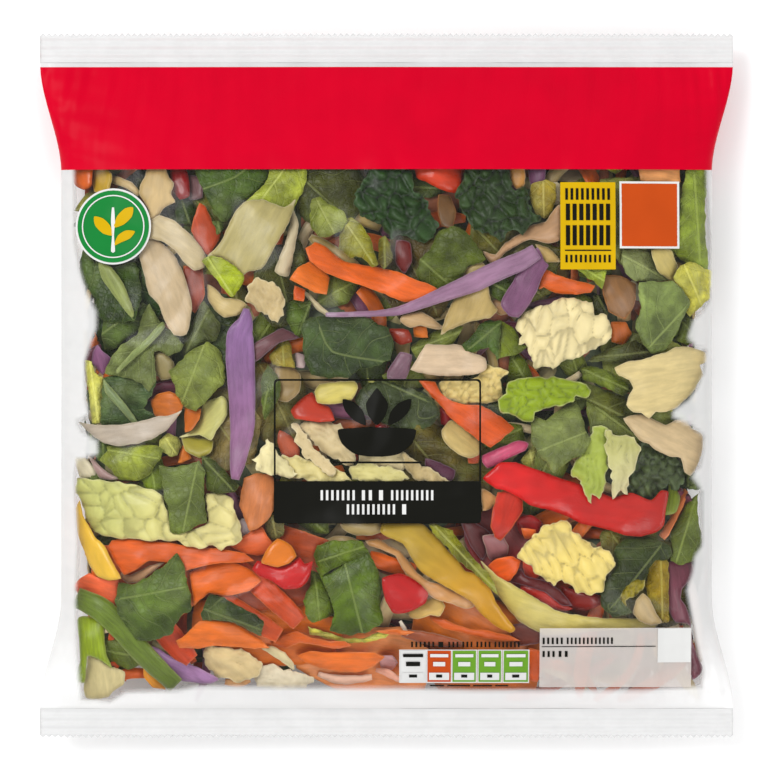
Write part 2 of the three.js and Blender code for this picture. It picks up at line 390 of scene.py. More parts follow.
    ("leaf", (75, 90, 65), "303,340 302,325 310,318 330,316 370,318 378,325 388,328 394,345 390,360"
     " 375,367 358,370 350,377 330,378 312,375 305,360", "320,328 333,352 385,362"),
    ("leaf", (84, 102, 32), "287,303 300,300 312,302 309,318 305,330 300,338 292,330 286,318",
     "310,305 300,330"),
    ("cabbage", (117, 83, 90), "253,345 270,335 283,328 300,338 280,343 262,358 256,362", ""),
    ("leaf", (150, 135, 70), "285,337 292,345 293,360 296,368 285,367 272,365 270,355 278,345", ""),
    ("cabbage", (178, 157, 154), "296,353 306,356 305,368 297,367", ""),
    ("leaf", (100, 115, 65), "268,365 278,375 282,390 278,402 272,412 265,420 262,400 262,380",
     "268,392 263,418"),
    ("onion", (205, 190, 150), "304,292,3 312,300,5 320,309,6 330,316,4", ""),
    ("onion", (160, 136, 96), "275,368 290,366 301,374 300,392 288,402 276,398", ""),
    ("onion", (210, 195, 110), "315,392 320,384 335,382 355,381 358,388 352,400 335,404 318,403", ""),
    ("pepper", (200, 75, 65), "291,410 300,400 312,392 318,400 330,408 335,420 320,422 305,420 295,418",
     ""),
    ("cabbage", (130, 100, 115), "400,352 412,355 410,368 405,380 388,380 387,372 393,362", ""),
    ("onion", (194, 162, 122), "402,316 420,312 432,318 440,325 447,328 435,330 420,326 410,328 400,322",
     ""),
    ("leaf", (75, 85, 65), "355,400 360,390 370,383 385,380 400,385 420,392 435,402 440,415 432,425"
     " 420,430 400,430 380,422 365,415", "383,382 425,400"),
    ("carrot", (216, 96, 38), "418,380 435,382 440,392 450,400 462,404 480,405 490,410 505,420 514,428"
     " 500,440 490,447 478,440 465,430 450,418 440,405 430,395", ""),
    ("savoy", (228, 204, 134), "438,385 445,378 460,380 475,378 485,365 500,368 508,372 500,380 503,395"
     " 495,402 480,403 460,404 448,400 440,392", ""),
    ("onion", (205, 180, 120), "441,430 450,420 462,424 472,435 480,442 478,455 470,458 460,455 450,448"
     " 443,440", ""),
    ("pepper", (170, 40, 60), "440,408 452,412 450,425 441,424", ""),
    ("cabbage", (204, 88, 122), "482,455 500,447 518,440 528,443 525,450 510,457 495,465 487,468 482,462",
     ""),
    ("carrot", (210, 90, 60), "466,452 474,450 480,456 478,463 468,463", ""),
    # The frilly shredded heart across the printed strip, petal by petal.
    ("heart", (218, 198, 154), "292,424 297,423 303,430 310,440 318,450 328,460 337,470 330,477 318,467"
     " 310,459 308,461 302,452 301,446 295,441 296,433", "293,425 333,474"),
    ("heart", (236, 224, 172), "262,448 268,438 273,444 278,452 284,458 292,466 300,474 290,477 272,474"
     " 262,472 256,468 258,462 253,459 262,453", "266,440 296,476"),
    ("heart", (228, 214, 150), "296,455 310,460 325,466 345,472 352,481 320,482 300,479 282,475 275,470"
     " 280,462 284,456", "284,460 350,480"),
    ("heart", (216, 206, 140), "350,466 365,462 385,466 400,470 410,478 395,482 370,482 352,479",
     "352,470 408,479"),
    ("heart", (204, 182, 134), "402,452 415,460 430,468 445,477 452,482 430,482 415,479 405,468",
     "403,455 450,481"),
    ("heart", (220, 200, 156), "300,422 320,421 340,424 346,432 350,445 356,458 352,466 340,462 328,455"
     " 318,446 308,436 302,428", "302,423 354,462"),
    ("heart", (230, 214, 168), "352,440 362,432 375,438 392,446 405,452 412,462 400,470 380,466 362,462"
     " 356,452", "354,440 410,464"),
    ("pepper", (196, 104, 82), "280,430 292,436 300,448 298,462 284,458 278,442", ""),
    ("pepper", (190, 70, 60), "342,430 352,438 360,458 352,460 345,446", ""),
    ("pepper", (190, 45, 28), "376,424 388,426 394,440 384,442 376,436", ""),
    ("cabbage", (95, 60, 80), "425,458 440,462 455,470 452,480 436,480 426,472", ""),
    # Carrots, shreds and bits of the lower left.
    ("carrot", (225, 105, 60), "112,540 125,538 145,540 170,542 190,546 220,548 245,552 255,560 240,562"
     " 220,562 200,566 185,570 170,562 150,560 135,570 125,575 118,565 108,548", ""),
    ("carrot", (235, 115, 50), "190,572 205,565 222,560 240,563 252,570 262,580 250,590 235,594 225,595"
     " 210,592 200,600 195,605 193,590", ""),
    ("carrot", (248, 116, 80), "73,587 80,578 90,573 100,578 119,580 117,598 113,607 104,605 96,600 88,595"
     " 78,594", ""),
    ("carrot", (204, 127, 84), "245,478 255,473 270,473 276,480 276,495 274,510 268,520 258,528 250,530"
     " 245,518 240,505 242,490", ""),
    ("carrot", (238, 114, 72), "252,530 262,525 268,535 275,545 270,552 258,555 245,553 230,545", ""),
    ("onion", (200, 185, 185), "240,520 246,518 252,532 250,541 243,540", ""),
    ("leaf", (148, 138, 92), "265,515 276,512 285,520 284,535 272,540 266,530", ""),
    ("carrot", (205, 85, 50), "238,566,18 262,586,22 282,604,22 300,622,18", ""),
    ("carrot", (204, 88, 48), "222,596,16 240,610,20 262,624,20 280,635,16", ""),
    ("carrot", (232, 120, 60), "176,640 185,635 195,625 200,620 215,620 235,622 250,632 262,640 270,647"
     " 255,648 235,646 215,645 198,648 180,647", ""),
    ("carrot", (205, 80, 50), "150,610,20 164,628,26 180,648,24 192,660,16", ""),
    ("cabbage", (180, 138, 184), "146,644 158,648 172,657 185,662 200,668 215,676 219,680 210,684 195,683"
     " 180,681 170,672 160,662 152,652", ""),
    ("carrot", (244, 164, 66), "143,665 152,672 165,684 165,691 152,688 144,678", ""),
    ("onion", (184, 152, 148), "88,455 95,460 103,468 113,475 120,478 112,480 100,478 95,470", ""),
    ("onion", (250, 238, 206), "75,458 86,458 95,468 96,478 80,477", ""),
    ("onion", (190, 148, 114), "121,572 130,575 150,565 165,562 150,574 140,582 128,583 121,578", ""),
    # Along the foot.
    ("onion", (220, 205, 160), "262,648 272,645 285,652 294,663 294,670 280,660 268,652", ""),
    ("heart", (224, 200, 150), "203,650 212,645 235,648 250,652 262,664 258,676 240,682 218,678 207,668",
     "204,652 256,674"),
    ("heart", (228, 216, 188), "252,668 270,664 290,670 314,677 306,688 280,691 258,686",
     "254,674 312,682"),
    ("carrot", (216, 104, 40), "272,643 282,635 297,630 310,636 330,640 345,640 352,645 335,648 320,645"
     " 300,642 285,648", ""),
    ("carrot", (235, 120, 45), "297,655 310,650 330,652 350,651 375,652 385,656 375,665 360,672 340,672"
     " 320,668 305,662", ""),
    ("carrot", (230, 115, 50), "375,630 395,628 415,631 405,634 385,633", ""),
    ("pale", (200, 195, 90), "308,625 315,628 330,632 345,637 360,638 378,632 392,630 385,637 365,642"
     " 345,642 325,637 310,634", ""),
    ("onion", (248, 204, 180), "318,674,5 335,679,9 352,680,9 372,677,6", ""),
    ("onion", (248, 182, 158), "376,670,4 388,673,8 400,680,5", ""),
    ("cabbage", (230, 178, 178), "380,656 392,655 398,662 392,670 381,668", ""),
    ("carrot", (248, 190, 134), "225,682,6 238,684,8 250,680,5", ""),
    ("onion", (232, 224, 205), "400,620,3 404,627,4 408,634,3", ""),
    # The lower right.
    ("onion", (180, 158, 110), "340,523 360,522 385,522 384,530 375,534 360,535 348,532", ""),
    ("onion", (202, 150, 100), "365,540 378,538 390,545 400,550 408,560 418,572 428,580 440,583 452,590"
     " 470,597 475,605 465,608 450,602 435,598 425,592 412,580 402,568 395,555 380,548 370,545", ""),
    ("onion", (215, 180, 110), "408,612 415,605 425,600 430,595 440,597 445,605 440,615 430,614 420,618"
     " 410,617", ""),
    ("carrot", (220, 105, 60), "430,615 442,617 455,623 470,628 490,630 510,635 520,640 505,640 480,637"
     " 462,632 445,628 432,620", ""),
    ("onion", (176, 102, 78), "402,632,8 425,637,13 448,641,10 462,643,5", ""),
    ("leaf", (68, 78, 36), "615,545 625,538 640,536 655,538 668,545 672,555 665,560 655,560 648,568"
     " 645,580 635,578 625,585 618,598 632,612 612,616 600,605 600,592 606,578 616,565 612,552",
     "660,545 612,605"),
    ("onion", (190, 165, 120), "635,600 642,592 650,600 655,612 662,622 650,625 638,620 632,612", ""),
    ("savoy", (165, 150, 60), "640,573 645,580 642,590 632,597 625,600 626,605 620,606 618,598 622,588"
     " 630,580", ""),
    ("leaf", (165, 140, 60), "650,558 660,556 668,562 668,580 668,622 655,620 648,600 645,585 646,570",
     "660,560 662,618"),
    ("kale", (88, 100, 76), "638,443 645,442 652,446 655,452 668,456 680,460 684,470 683,485 673,490"
     " 668,485 655,495 645,498 635,493 625,490 627,478 633,465 638,452", "642,446 660,490"),
    ("kale", (100, 112, 70), "683,468 695,472 703,480 698,490 686,488", ""),
    ("stalk", (135, 150, 70), "668,482 676,482 680,498 676,512 665,515 662,508 668,495", ""),
    ("carrot", (222, 130, 86), "684,488 688,492 684,505 676,520 668,535 664,540 658,535 668,520 678,505",
     ""),
    ("leaf", (120, 135, 70), "700,492 697,500 698,520 702,540 701,555 692,560 680,565 670,560 672,545"
     " 668,538 680,515 690,500", "696,498 676,560"),
    ("cabbage", (125, 75, 90), "668,562 680,558 690,560 695,572 690,580 682,588 680,598 685,605 690,618"
     " 692,640 697,655 703,668 700,675 692,680 691,660 689,625 675,622 668,610 666,590", ""),
    ("onion", (215, 195, 185), "688,572,6 694,600,9 698,630,9 700,662,6", ""),
    ("onion", (208, 192, 112), "480,560 497,575 515,585 540,600 560,611 600,617 640,618 655,622 655,627"
     " 600,630 560,634 545,634 535,630 518,620 505,605 495,590", ""),
    ("carrot", (240, 104, 36), "487,565 495,558 510,555 520,560 517,570 510,580 500,582 493,575", ""),
    ("carrot", (196, 64, 26), "497,492 510,490 522,497 522,510 515,522 507,532 500,540 494,536 490,525"
     " 492,510", ""),
    ("cabbage", (104, 42, 46), "507,580 520,567 525,575 545,580 560,590 572,605 560,604 545,592 525,585",
     ""),
    ("pepper", (190, 60, 40), "520,590 535,598 550,608 565,610 572,608 560,600 548,590 540,580 530,578"
     " 522,580", ""),
    ("pepper", (140, 56, 50), "560,585 575,590 598,594 600,604 585,610 568,606", ""),
    ("carrot", (246, 80, 24), "522,560 532,562 540,572 536,580 524,575", ""),
    ("onion", (162, 112, 116), "482,535 500,533 508,545 506,555 490,560 485,548", ""),
    ("onion", (226, 172, 112), "481,488 490,492 500,500 490,508 482,510", ""),
    ("cabbage", (105, 64, 70), "460,520 475,522 490,532 488,548 482,560 470,545", ""),
    ("carrot", (232, 108, 44), "520,527 535,529 536,538 524,538", ""),
    ("pepper", (170, 38, 42), "515,518 530,514 541,522 536,533 520,534", ""),
    ("cabbage", (116, 66, 64), "510,625 526,622 540,628 539,642 520,645 511,638", ""),
    ("carrot", (236, 106, 42), "528,647 540,650 541,668 538,682 529,680", ""),
    # The upper right, round the yellow label and beneath it.
    ("leaf", (170, 186, 74), "575,268 600,266 605,272 601,290 592,282 583,275", ""),
    ("carrot", (225, 105, 50), "541,268 550,272 560,277 580,282 594,286 590,293 575,295 555,294 543,288"
     " 538,290", ""),
    ("onion", (202, 172, 114), "535,245 548,248 556,256 560,262 552,263 544,262", ""),
    ("leaf", (85, 100, 60), "490,280 505,278 515,286 514,298 500,302 490,294", ""),
    ("onion", (178, 138, 100), "492,300 508,300 511,312 500,316 492,310", ""),
    ("carrot", (146, 108, 78), "600,275 620,276 635,285 634,305 624,320 608,312 602,295", ""),
    ("pepper", (215, 75, 45), "415,171 465,171 462,180 461,190 455,194 440,190 425,182 416,178", ""),
    ("carrot", (120, 92, 70), "438,195 450,196 456,212 452,230 441,226 437,210", ""),
    ("carrot", (248, 174, 112), "637,171 678,171 680,182 676,184 640,181", ""),
    ("onion", (202, 146, 84), "510,172 522,172 525,184 516,190 510,182", ""),
    ("cabbage", (120, 80, 110), "527,172 545,172 544,184 530,185", ""),
    ("onion", (225, 210, 170), "551,184 559,184 560,204 552,204", ""),
    ("cabbage", (112, 54, 46), "396,241 410,243 412,262 404,275 395,262", ""),
    ("pepper", (200, 75, 50), "370,325 380,325 381,335 371,335", ""),
    ("pepper", (148, 64, 30), "390,329 408,330 412,342 400,345 391,338", ""),
    ("carrot", (216, 118, 56), "413,326 426,327 428,338 414,337", ""),
    ("carrot", (192, 104, 54), "610,322 625,322 631,334 624,345 611,342", ""),
    ("onion", (205, 170, 120), "616,301 629,301 630,320 617,321", ""),
    ("onion", (226, 214, 178), "629,283 634,281 641,290 640,301 633,299", ""),
    ("cabbage", (140, 60, 86), "621,282 629,284 630,294 622,294", ""),
    ("leaf", (72, 76, 42), "592,296 604,295 611,306 606,317 595,312", ""),
    # The upper left corner and behind.
    ("pepper", (214, 104, 44), "70,171 92,171 92,185 84,190 74,184", ""),
    ("onion", (200, 164, 66), "92,171 112,174 110,190 94,192", ""),
    ("onion", (206, 178, 126), "100,176,5 115,180,8 130,186,8 140,195,5", ""),
    ("onion", (222, 208, 165), "104,190,4 118,192,7 134,196,5", ""),
    ("pepper", (150, 50, 24), "170,171 188,173 190,196 180,200 172,186", ""),
    ("cabbage", (128, 96, 100), "186,176 202,178 203,198 190,200", ""),
    ("leaf", (62, 75, 48), "175,200 190,198 198,212 192,225 178,222", ""),
    ("carrot", (150, 70, 44), "184,266 203,270 206,295 196,314 185,300", ""),
    ("pale", (175, 180, 90), "203,260 218,258 226,268 218,276 205,274", ""),
    ("onion", (204, 182, 130), "208,285 215,288 225,298 240,300 248,305 240,315 225,318 215,310 208,298",
     ""),
    ("carrot", (200, 90, 60), "272,232 284,233 283,245 273,244", ""),
    # Large pieces deeper down, seen between the others.
    ("leaf", (62, 80, 52), "84,250 110,240 150,262 165,300 150,345 120,372 100,350 98,312 88,284",
     "96,262 135,352"),
    ("leaf", (66, 80, 54), "168,300 200,285 235,300 242,345 228,380 196,392 172,360", "176,304 226,378"),
    ("leaf", (104, 104, 52), "176,178 215,171 240,190 232,226 206,238 182,222", "182,184 222,230"),
    ("leaf", (80, 82, 52), "262,232 300,240 312,275 304,318 276,330 252,300", "272,240 292,322"),
    ("leaf", (80, 84, 38), "292,171 345,171 372,190 352,225 322,232 298,214", "300,176 350,222"),
    ("leaf", (94, 82, 40), "392,236 440,240 462,276 440,318 404,326 380,290", "400,242 436,312"),
    ("leaf", (104, 100, 58), "470,225 520,230 560,250 552,292 510,312 474,290", "478,232 540,296"),
    ("leaf", (142, 146, 86), "600,180 680,176 690,230 668,268 620,266 596,230", "612,184 670,258"),
    ("leaf", (128, 132, 72), "600,330 660,336 684,348 690,384 650,402 604,380", "608,338 684,384"),
    ("leaf", (118, 126, 74), "586,400 650,402 674,412 696,466 660,494 612,470 590,436", "596,408 686,474"),
    ("leaf", (140, 124, 84), "196,392 240,384 262,420 254,462 216,472 190,440", "202,398 246,462"),
    ("leaf", (122, 106, 66), "256,362 300,372 312,410 290,450 262,440 250,400", "262,368 296,442"),
    ("carrot", (168, 80, 44), "186,520 270,520 330,540 322,600 250,612 196,580", ""),
    ("carrot", (236, 122, 68), "100,545 190,550 200,600 150,640 104,620", ""),
    ("carrot", (216, 116, 60), "196,600 300,596 345,625 330,662 240,668 192,640", ""),
    ("carrot", (244, 158, 100), "300,630 400,626 430,650 424,690 340,692 296,668", ""),
    ("leaf", (104, 94, 52), "396,420 470,430 500,470 476,522 420,520 392,470", "404,428 470,510"),
    ("leaf", (102, 94, 46), "600,530 680,520 704,560 690,620 640,632 604,590", "612,536 676,620"),
    ("cabbage", (150, 66, 70), "470,500 540,520 560,570 540,612 490,590 464,540", ""),
    ("carrot", (212, 118, 56), "420,590 500,600 540,640 536,690 440,692 410,640", ""),
]


# ---------------------------------------------------------------- wrinkles of the film

# Fine waves (mm): those that fan in from the ends, those that run in from the side folds, and a slight
# crinkle everywhere. Each is a height and its wavelengths, and the first two also have the step in phase
# from one wavelength to the next and how far they reach in.
END_WRINKLES = (0.26, (4.7, 7.9, 12.3), 2.1, 20.0)
SIDE_WRINKLES = (0.22, (6.1, 10.7, 16.9), 1.7, 16.0)
CRINKLE = (0.10, (9.3, 13.9))
# How far the wrinkles wander, over what length, and how much those at the sides lean.
WRINKLE_DRIFT = (2.2, 55.0)
SIDE_LEAN = 0.25
# From a seal and from a side fold, how far in the wrinkles come to their full height.
WRINKLE_START = (5.0, 3.0)
TOP_SEED = 3
FOOT_SEED = 8

# Random waves: how many are added up, how their lengths spread and what evens out their height.
WAVES = 5
WAVE_SPREAD = (0.75, 1.35)
WAVE_EVEN = 1.2
# What keeps the numbers drawn for one seed apart from those for the next.
SEED_STEP = 7919
SEED_START = 13


def waves(x, y, seed, length):
    """Smooth random waves of about one wavelength, mostly from -1 to 1."""
    draw = numbers(seed * SEED_STEP + SEED_START)
    total = np.zeros(np.shape(x))
    for _ in range(WAVES):
        angle = next(draw) * 2 * math.pi
        turn = 2 * math.pi / (length * mix(*WAVE_SPREAD, next(draw)))
        phase = next(draw) * 2 * math.pi
        total += np.sin(turn * (x * math.cos(angle) + y * math.sin(angle)) + phase)
    return total / math.sqrt(WAVES * WAVE_EVEN)


def wrinkle(x, y, seed):
    """Height of the fine wrinkles, none where the film goes into a seal or over a side fold."""
    ends = np.clip(into_body(y), 0, None)
    sides = np.clip(half_width(y) - np.abs(x), 0, None)
    drift = WRINKLE_DRIFT[0] * waves(x, y, seed, WRINKLE_DRIFT[1])
    total = np.zeros(np.shape(x))
    for (height, lengths, phase, reach), run, gap in (
        (END_WRINKLES, x + drift, ends),
        (SIDE_WRINKLES, y + drift + SIDE_LEAN * sides, sides),
    ):
        for i, length in enumerate(lengths):
            total += height * np.sin(2 * math.pi * run / length + i * phase) * np.exp(-gap / reach)
    height, lengths = CRINKLE
    for i, length in enumerate(lengths):
        total += height * waves(x, y, seed + 5 + i, length)
    total *= np.clip(ends / WRINKLE_START[0], 0, 1)
    return total * np.clip(sides / WRINKLE_START[1], 0, 1)


# The film parts from the line of the side fold over this share of the half width.
FOLD_SHARE = 0.25
# The underside's least height over the floor, and the height from which it is wrinkled in full.
FLOOR_GAP = 0.5
FOOT_WRINKLED = 6.0


def fold_skin(x, y):
    """Half of the film's thickness, which is given back at the side folds."""
    return END_SKIN * np.clip((1 - np.abs(x) / half_width(y)) / FOLD_SHARE, 0, 1)


def film_top(x, y):
    """Height of the upper side, with its lumps and wrinkles."""
    lumps = lump_height(x, y) * top_fullness(x, y)
    return upper_form(x, y) + lumps + fold_skin(x, y) + wrinkle(x, y, TOP_SEED)


def film_foot(x, y):
    """The underside, kept a little above the floor so that the fin seal fits beneath it."""
    lift = lower_form(x, y)
    wrinkled = wrinkle(x, y, FOOT_SEED) * np.clip(lift / FOOT_WRINKLED, 0, 1)
    return np.maximum(FLOOR_GAP, lift - fold_skin(x, y) + wrinkled)


# ---------------------------------------------------------------- meshes


def make_mesh(name, points, faces, paint, layers=None):
    """An object from points in millimetres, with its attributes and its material."""
    mesh = bpy.data.meshes.new(name)
    mesh.vertices.add(len(points))
    mesh.vertices.foreach_set("co", (np.asarray(points, float) / 1000).ravel())
    sizes = np.array([len(face) for face in faces], dtype=np.int32)
    loops = np.array([corner for face in faces for corner in face], dtype=np.int32)
    mesh.loops.add(len(loops))
    mesh.loops.foreach_set("vertex_index", loops)
    mesh.polygons.add(len(sizes))
    mesh.polygons.foreach_set("loop_start", np.concatenate(([0], np.cumsum(sizes)[:-1])).astype(np.int32))
    mesh.update(calc_edges=True)
    mesh.validate()
    for key, values in (layers or {}).items():
        values = np.asarray(values, float)
        kind, field = ("FLOAT_COLOR", "color") if values.shape[1] == 4 else ("FLOAT_VECTOR", "vector")
        mesh.attributes.new(key, kind, "POINT").data.foreach_set(field, values.ravel())
    mesh.polygons.foreach_set("use_smooth", np.ones(len(mesh.polygons), bool))
    mesh.materials.append(paint)
    thing = bpy.data.objects.new(name, mesh)
    bpy.context.collection.objects.link(thing)
    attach(thing, "root")
    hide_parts("bag")


def grid_faces(rows, columns, start, flip):
    """The faces of a grid of points, from its first point's number; flip turns them over."""
    faces = []
    for row in range(rows - 1):
        for column in range(columns - 1):
            a = start + row * columns + column
            face = (a, a + 1, a + columns + 1, a + columns)
            faces.append(face[::-1] if flip else face)
    return faces


# The edge of the filling, seen from above: clear film is left at the sides and the foot.
FILL_EDGE = spots(
    "74,150 75,240 80,270 87,292 97,312 97,328 91,345 85,362 86,398 89,414 77,421 82,431 98,441 99,454 77,459"
    " 75,480 78,540 76,600 78,660 81,700 110,702 126,692 150,692 180,690 200,686 300,688 400,688 470,690"
    " 560,690 640,690 702,687 704,670 696,640 690,610 686,590 692,572 694,556 702,545 702,492 691,476 700,466"
    " 703,450 704,436 692,426 672,417 672,411 688,400 697,388 704,372 706,350 695,346 687,338 692,322 704,310"
    " 711,298 711,240 707,190 706,150 640,128 500,120 384,118 250,120 130,128"
)
# The film turns milky across this edge: where that starts, beyond the edge, and how wide it is.
MILK_START = -1.2
MILK_WIDTH = 2.4
# How milky the empty edge of the upper side is at the ends and at the side folds, how far in from a seal
# it is still as at the ends, and over what length it changes.
END_MILK = 0.78
SIDE_MILK = 0.66
END_MILK_REACH = 7.0
END_MILK_FADE = 16.0


def milkiness(x, y, upper):
    """How milky the film looks, from 0 where the filling lies against it to 1."""
    places = np.stack([x, y], -1)
    gap = nearest_on(places, closed_line(FILL_EDGE))[0]
    gap = np.where(inside(places, FILL_EDGE), -gap, gap)
    edge = smooth((gap - MILK_START) / MILK_WIDTH)
    if not upper:
        return edge
    return edge * mix(END_MILK, SIDE_MILK, smooth((into_body(y) - END_MILK_REACH) / END_MILK_FADE))


# How far the columns of the film's grid are bunched towards the side folds, from 0 to 1.
COLUMN_BUNCHING = 0.8


def film_sleeve(name, y_from, y_to, top_step, foot_step, slot, paint):
    """A length of the film tube: its upper and its under side, which meet at the folds."""
    points, faces, milk = [], [], []
    for upper, step, form in ((True, top_step, film_top), (False, foot_step, film_foot)):
        rows = max(2, round((y_to - y_from) / step) + 1)
        columns = round(BODY_WIDTH / step) | 1
        y, t = np.meshgrid(np.linspace(y_from, y_to, rows), np.linspace(-1, 1, columns), indexing="ij")
        x = mix(t, np.sin(t * math.pi / 2), COLUMN_BUNCHING) * half_width(y)
        faces += grid_faces(rows, columns, sum(len(part) for part in points), not upper)
        points.append(np.stack([x, y, form(x, y)], -1).reshape(-1, 3))
        milk.append(milkiness(x.ravel(), y.ravel(), upper))
    layers = {"milk": np.column_stack([np.concatenate(milk)] * 3)}
    make_mesh(name, np.concatenate(points), faces, paint, layers)


SEAL_ROWS = 43
SEAL_RIB = 0.26
# How far the two films of a seal stand from its middle, as a share of the solid's half thickness.
SEAL_SKIN = 0.55
# Uneven pressing of a seal: heights, wavelengths and seeds.
SEAL_CRUSH = ((0.08, 7.0, 31), (0.3, 31.0, 37))


def end_seal(name, end, paint):
    """One crimped end: two thin welded films with ribs along it and a row of teeth."""
    columns = 2 * TEETH + 1
    x = np.linspace(-SEAL_WIDTH / 2, SEAL_WIDTH / 2, columns)
    tip = np.where(np.arange(columns) % 2 == 1, 0, TOOTH_DEPTH)
    sheet = SEAL_ROWS * columns
    points, faces = [], []
    for side in (1, -1):
        faces += grid_faces(SEAL_ROWS, columns, len(points) * columns, (side < 0) != (end > 0))
        for d in np.linspace(0, SEAL_DEPTH, SEAL_ROWS):
            y = end * (HALF_LENGTH - np.maximum(d, tip * (1 - d / SEAL_DEPTH)))
            rib = SEAL_RIB * np.cos(2 * math.pi * into_body(y) / RIB_PITCH)
            crush = sum(height * waves(x, y, seed + end, length) for height, length, seed in SEAL_CRUSH)
            z = seam_height(x, y) + rib + crush + side * END_SKIN * SEAL_SKIN
            points.append(np.stack([x, y, z], -1))
    last = SEAL_ROWS - 1
    loop = [(0, c) for c in range(columns)] + [(r, columns - 1) for r in range(1, SEAL_ROWS)]
    loop += [(last, c) for c in range(columns - 2, -1, -1)] + [(r, 0) for r in range(last - 1, 0, -1)]
    ring = [r * columns + c for r, c in loop]
    for a, b in zip(ring, ring[1:] + ring[:1]):
        face = (a, b, b + sheet, a + sheet)
        faces.append(face if end < 0 else face[::-1])
    make_mesh(name, np.concatenate(points), faces, paint)


# ---------------------------------------------------------------- flat shapes and outlines


def closed_line(outline):
    """The outline with its first point again at its end."""
    return np.vstack([outline, outline[:1]])


def rounded(corners, closed=True, step=1.2, curve=0.7):
    """A line through given corners, with points about a step apart; curve is 1 where it is all smooth."""
    corners = np.asarray(corners, float)
    count = len(corners)
    line = []
    for i in range(count if closed else count - 1):
        if closed:
            a, b, c, d = (corners[(i + k) % count] for k in (-1, 0, 1, 2))
        else:
            a, b = corners[max(i - 1, 0)], corners[i]
            c, d = corners[i + 1], corners[min(i + 2, count - 1)]
        parts = max(1, math.ceil(np.linalg.norm(c[:2] - b[:2]) / step))
        t = np.arange(parts)[:, None] / parts
        bend = 0.5 * ((2 * b) + (c - a) * t + (2 * a - 5 * b + 4 * c - d) * t ** 2
                      + (3 * b - a - 3 * c + d) * t ** 3)
        line.append(mix(b + (c - b) * t, bend, curve))
    if not closed:
        line.append(corners[-1:])
    return np.concatenate(line)


def inside(points, outline):
    """Which points lie inside a closed outline."""
    x, y = points[:, 0], points[:, 1]
    hit = np.zeros(len(points), bool)
    ax, ay = outline[-1]
    for bx, by in outline:
        crosses = (ay > y) != (by > y)
        if by != ay:
            hit ^= crosses & (x < (bx - ax) * (y - ay) / (by - ay) + ax)
        ax, ay = bx, by
    return hit


def area(outline):
    """The area inside a closed outline."""
    x, y = outline[:, 0], outline[:, 1]
    return abs(x @ np.roll(y, 1) - y @ np.roll(x, 1)) / 2


FAR_AWAY = 1e9
# The least length to divide by.
TINY = 1e-6


def directions(steps):
    """The steps, each made one long."""
    return steps / np.maximum(np.hypot(steps[:, 0], steps[:, 1]), TINY)[:, None]


def nearest_on(points, line):
    """For each point: its distance from a line, the way along it, and the distance with its side's sign."""
    best = np.full(len(points), FAR_AWAY)
    along = np.zeros(len(points))
    across = np.zeros(len(points))
    run = 0.0
    for a, b in zip(line[:-1], line[1:]):
        step = b - a
        length = max(np.hypot(*step), TINY)
        away = points - a
        t = np.clip((away @ step) / length ** 2, 0, 1)
        gap = away - t[:, None] * step
        far = np.hypot(gap[:, 0], gap[:, 1])
        side = np.sign(step[0] * away[:, 1] - step[1] * away[:, 0])
        nearer = far < best
        best = np.where(nearer, far, best)
        along = np.where(nearer, run + t * length, along)
        across = np.where(nearer, far * side, across)
        run += length
    return best, along, across


# The spacing of the rows of points in a piece, and the least distance of a point from the outline, as
# shares of the points' spacing.
ROW_SHARE = 0.87
RIM_SHARE = 0.45
# Points nearer than this become one.
MERGE = 1e-5


def triangles(points, edges, loops, inner_only):
    """The triangles between points that keep to the edges and loops, and the points that they use."""
    corners = [Vector(point) for point in points]
    places, _, faces, *_ = geometry.delaunay_2d_cdt(corners, edges, loops, inner_only, MERGE)
    return np.array([tuple(place) for place in places]), [tuple(face) for face in faces]


def filled(outline, spacing):
    """Points and triangles that fill an outline."""
    low, high = outline.min(0), outline.max(0)
    spread = []
    for i, y in enumerate(np.arange(low[1] + spacing / 2, high[1], spacing * ROW_SHARE)):
        x = np.arange(low[0] + (i % 2) * spacing / 2, high[0], spacing)
        spread.append(np.stack([x, np.full(len(x), y)], -1))
    points = outline
    if spread:
        free = np.concatenate(spread)
        free = free[inside(free, outline)]
        if len(free):
            free = free[nearest_on(free, closed_line(outline))[0] > spacing * RIM_SHARE]
            points = np.vstack([outline, free])
    return triangles(points, [], [list(range(len(outline)))], 1)


def border(faces):
    """The directed edges round the outside of a set of triangles."""
    edges = {(a, b) for face in faces for a, b in zip(face, face[1:] + face[:1])}
    return [edge for edge in edges if edge[::-1] not in edges]


# ---------------------------------------------------------------- how each kind of piece is shaped


def kind_of(thick, rim, mesh, wave, length, gutter, flex, ragged, tilt, curve, fold):
    """How a kind of piece is shaped, in millimetres.

    Rim is the radius of its rims, mesh the spacing of its points, and wave and length its undulation.
    Gutter is how far its middle stands over its rims, flex how widely what it lies under is evened out for
    it, ragged how uneven its outline is, tilt how far one side may lie lower, curve how smooth its outline is
    and fold the slope on each side of a bend across it.
    """
    return dict(thick=thick, rim=rim, mesh=mesh, wave=wave, length=length, gutter=gutter, flex=flex,
                ragged=ragged, tilt=tilt, curve=curve, fold=fold)


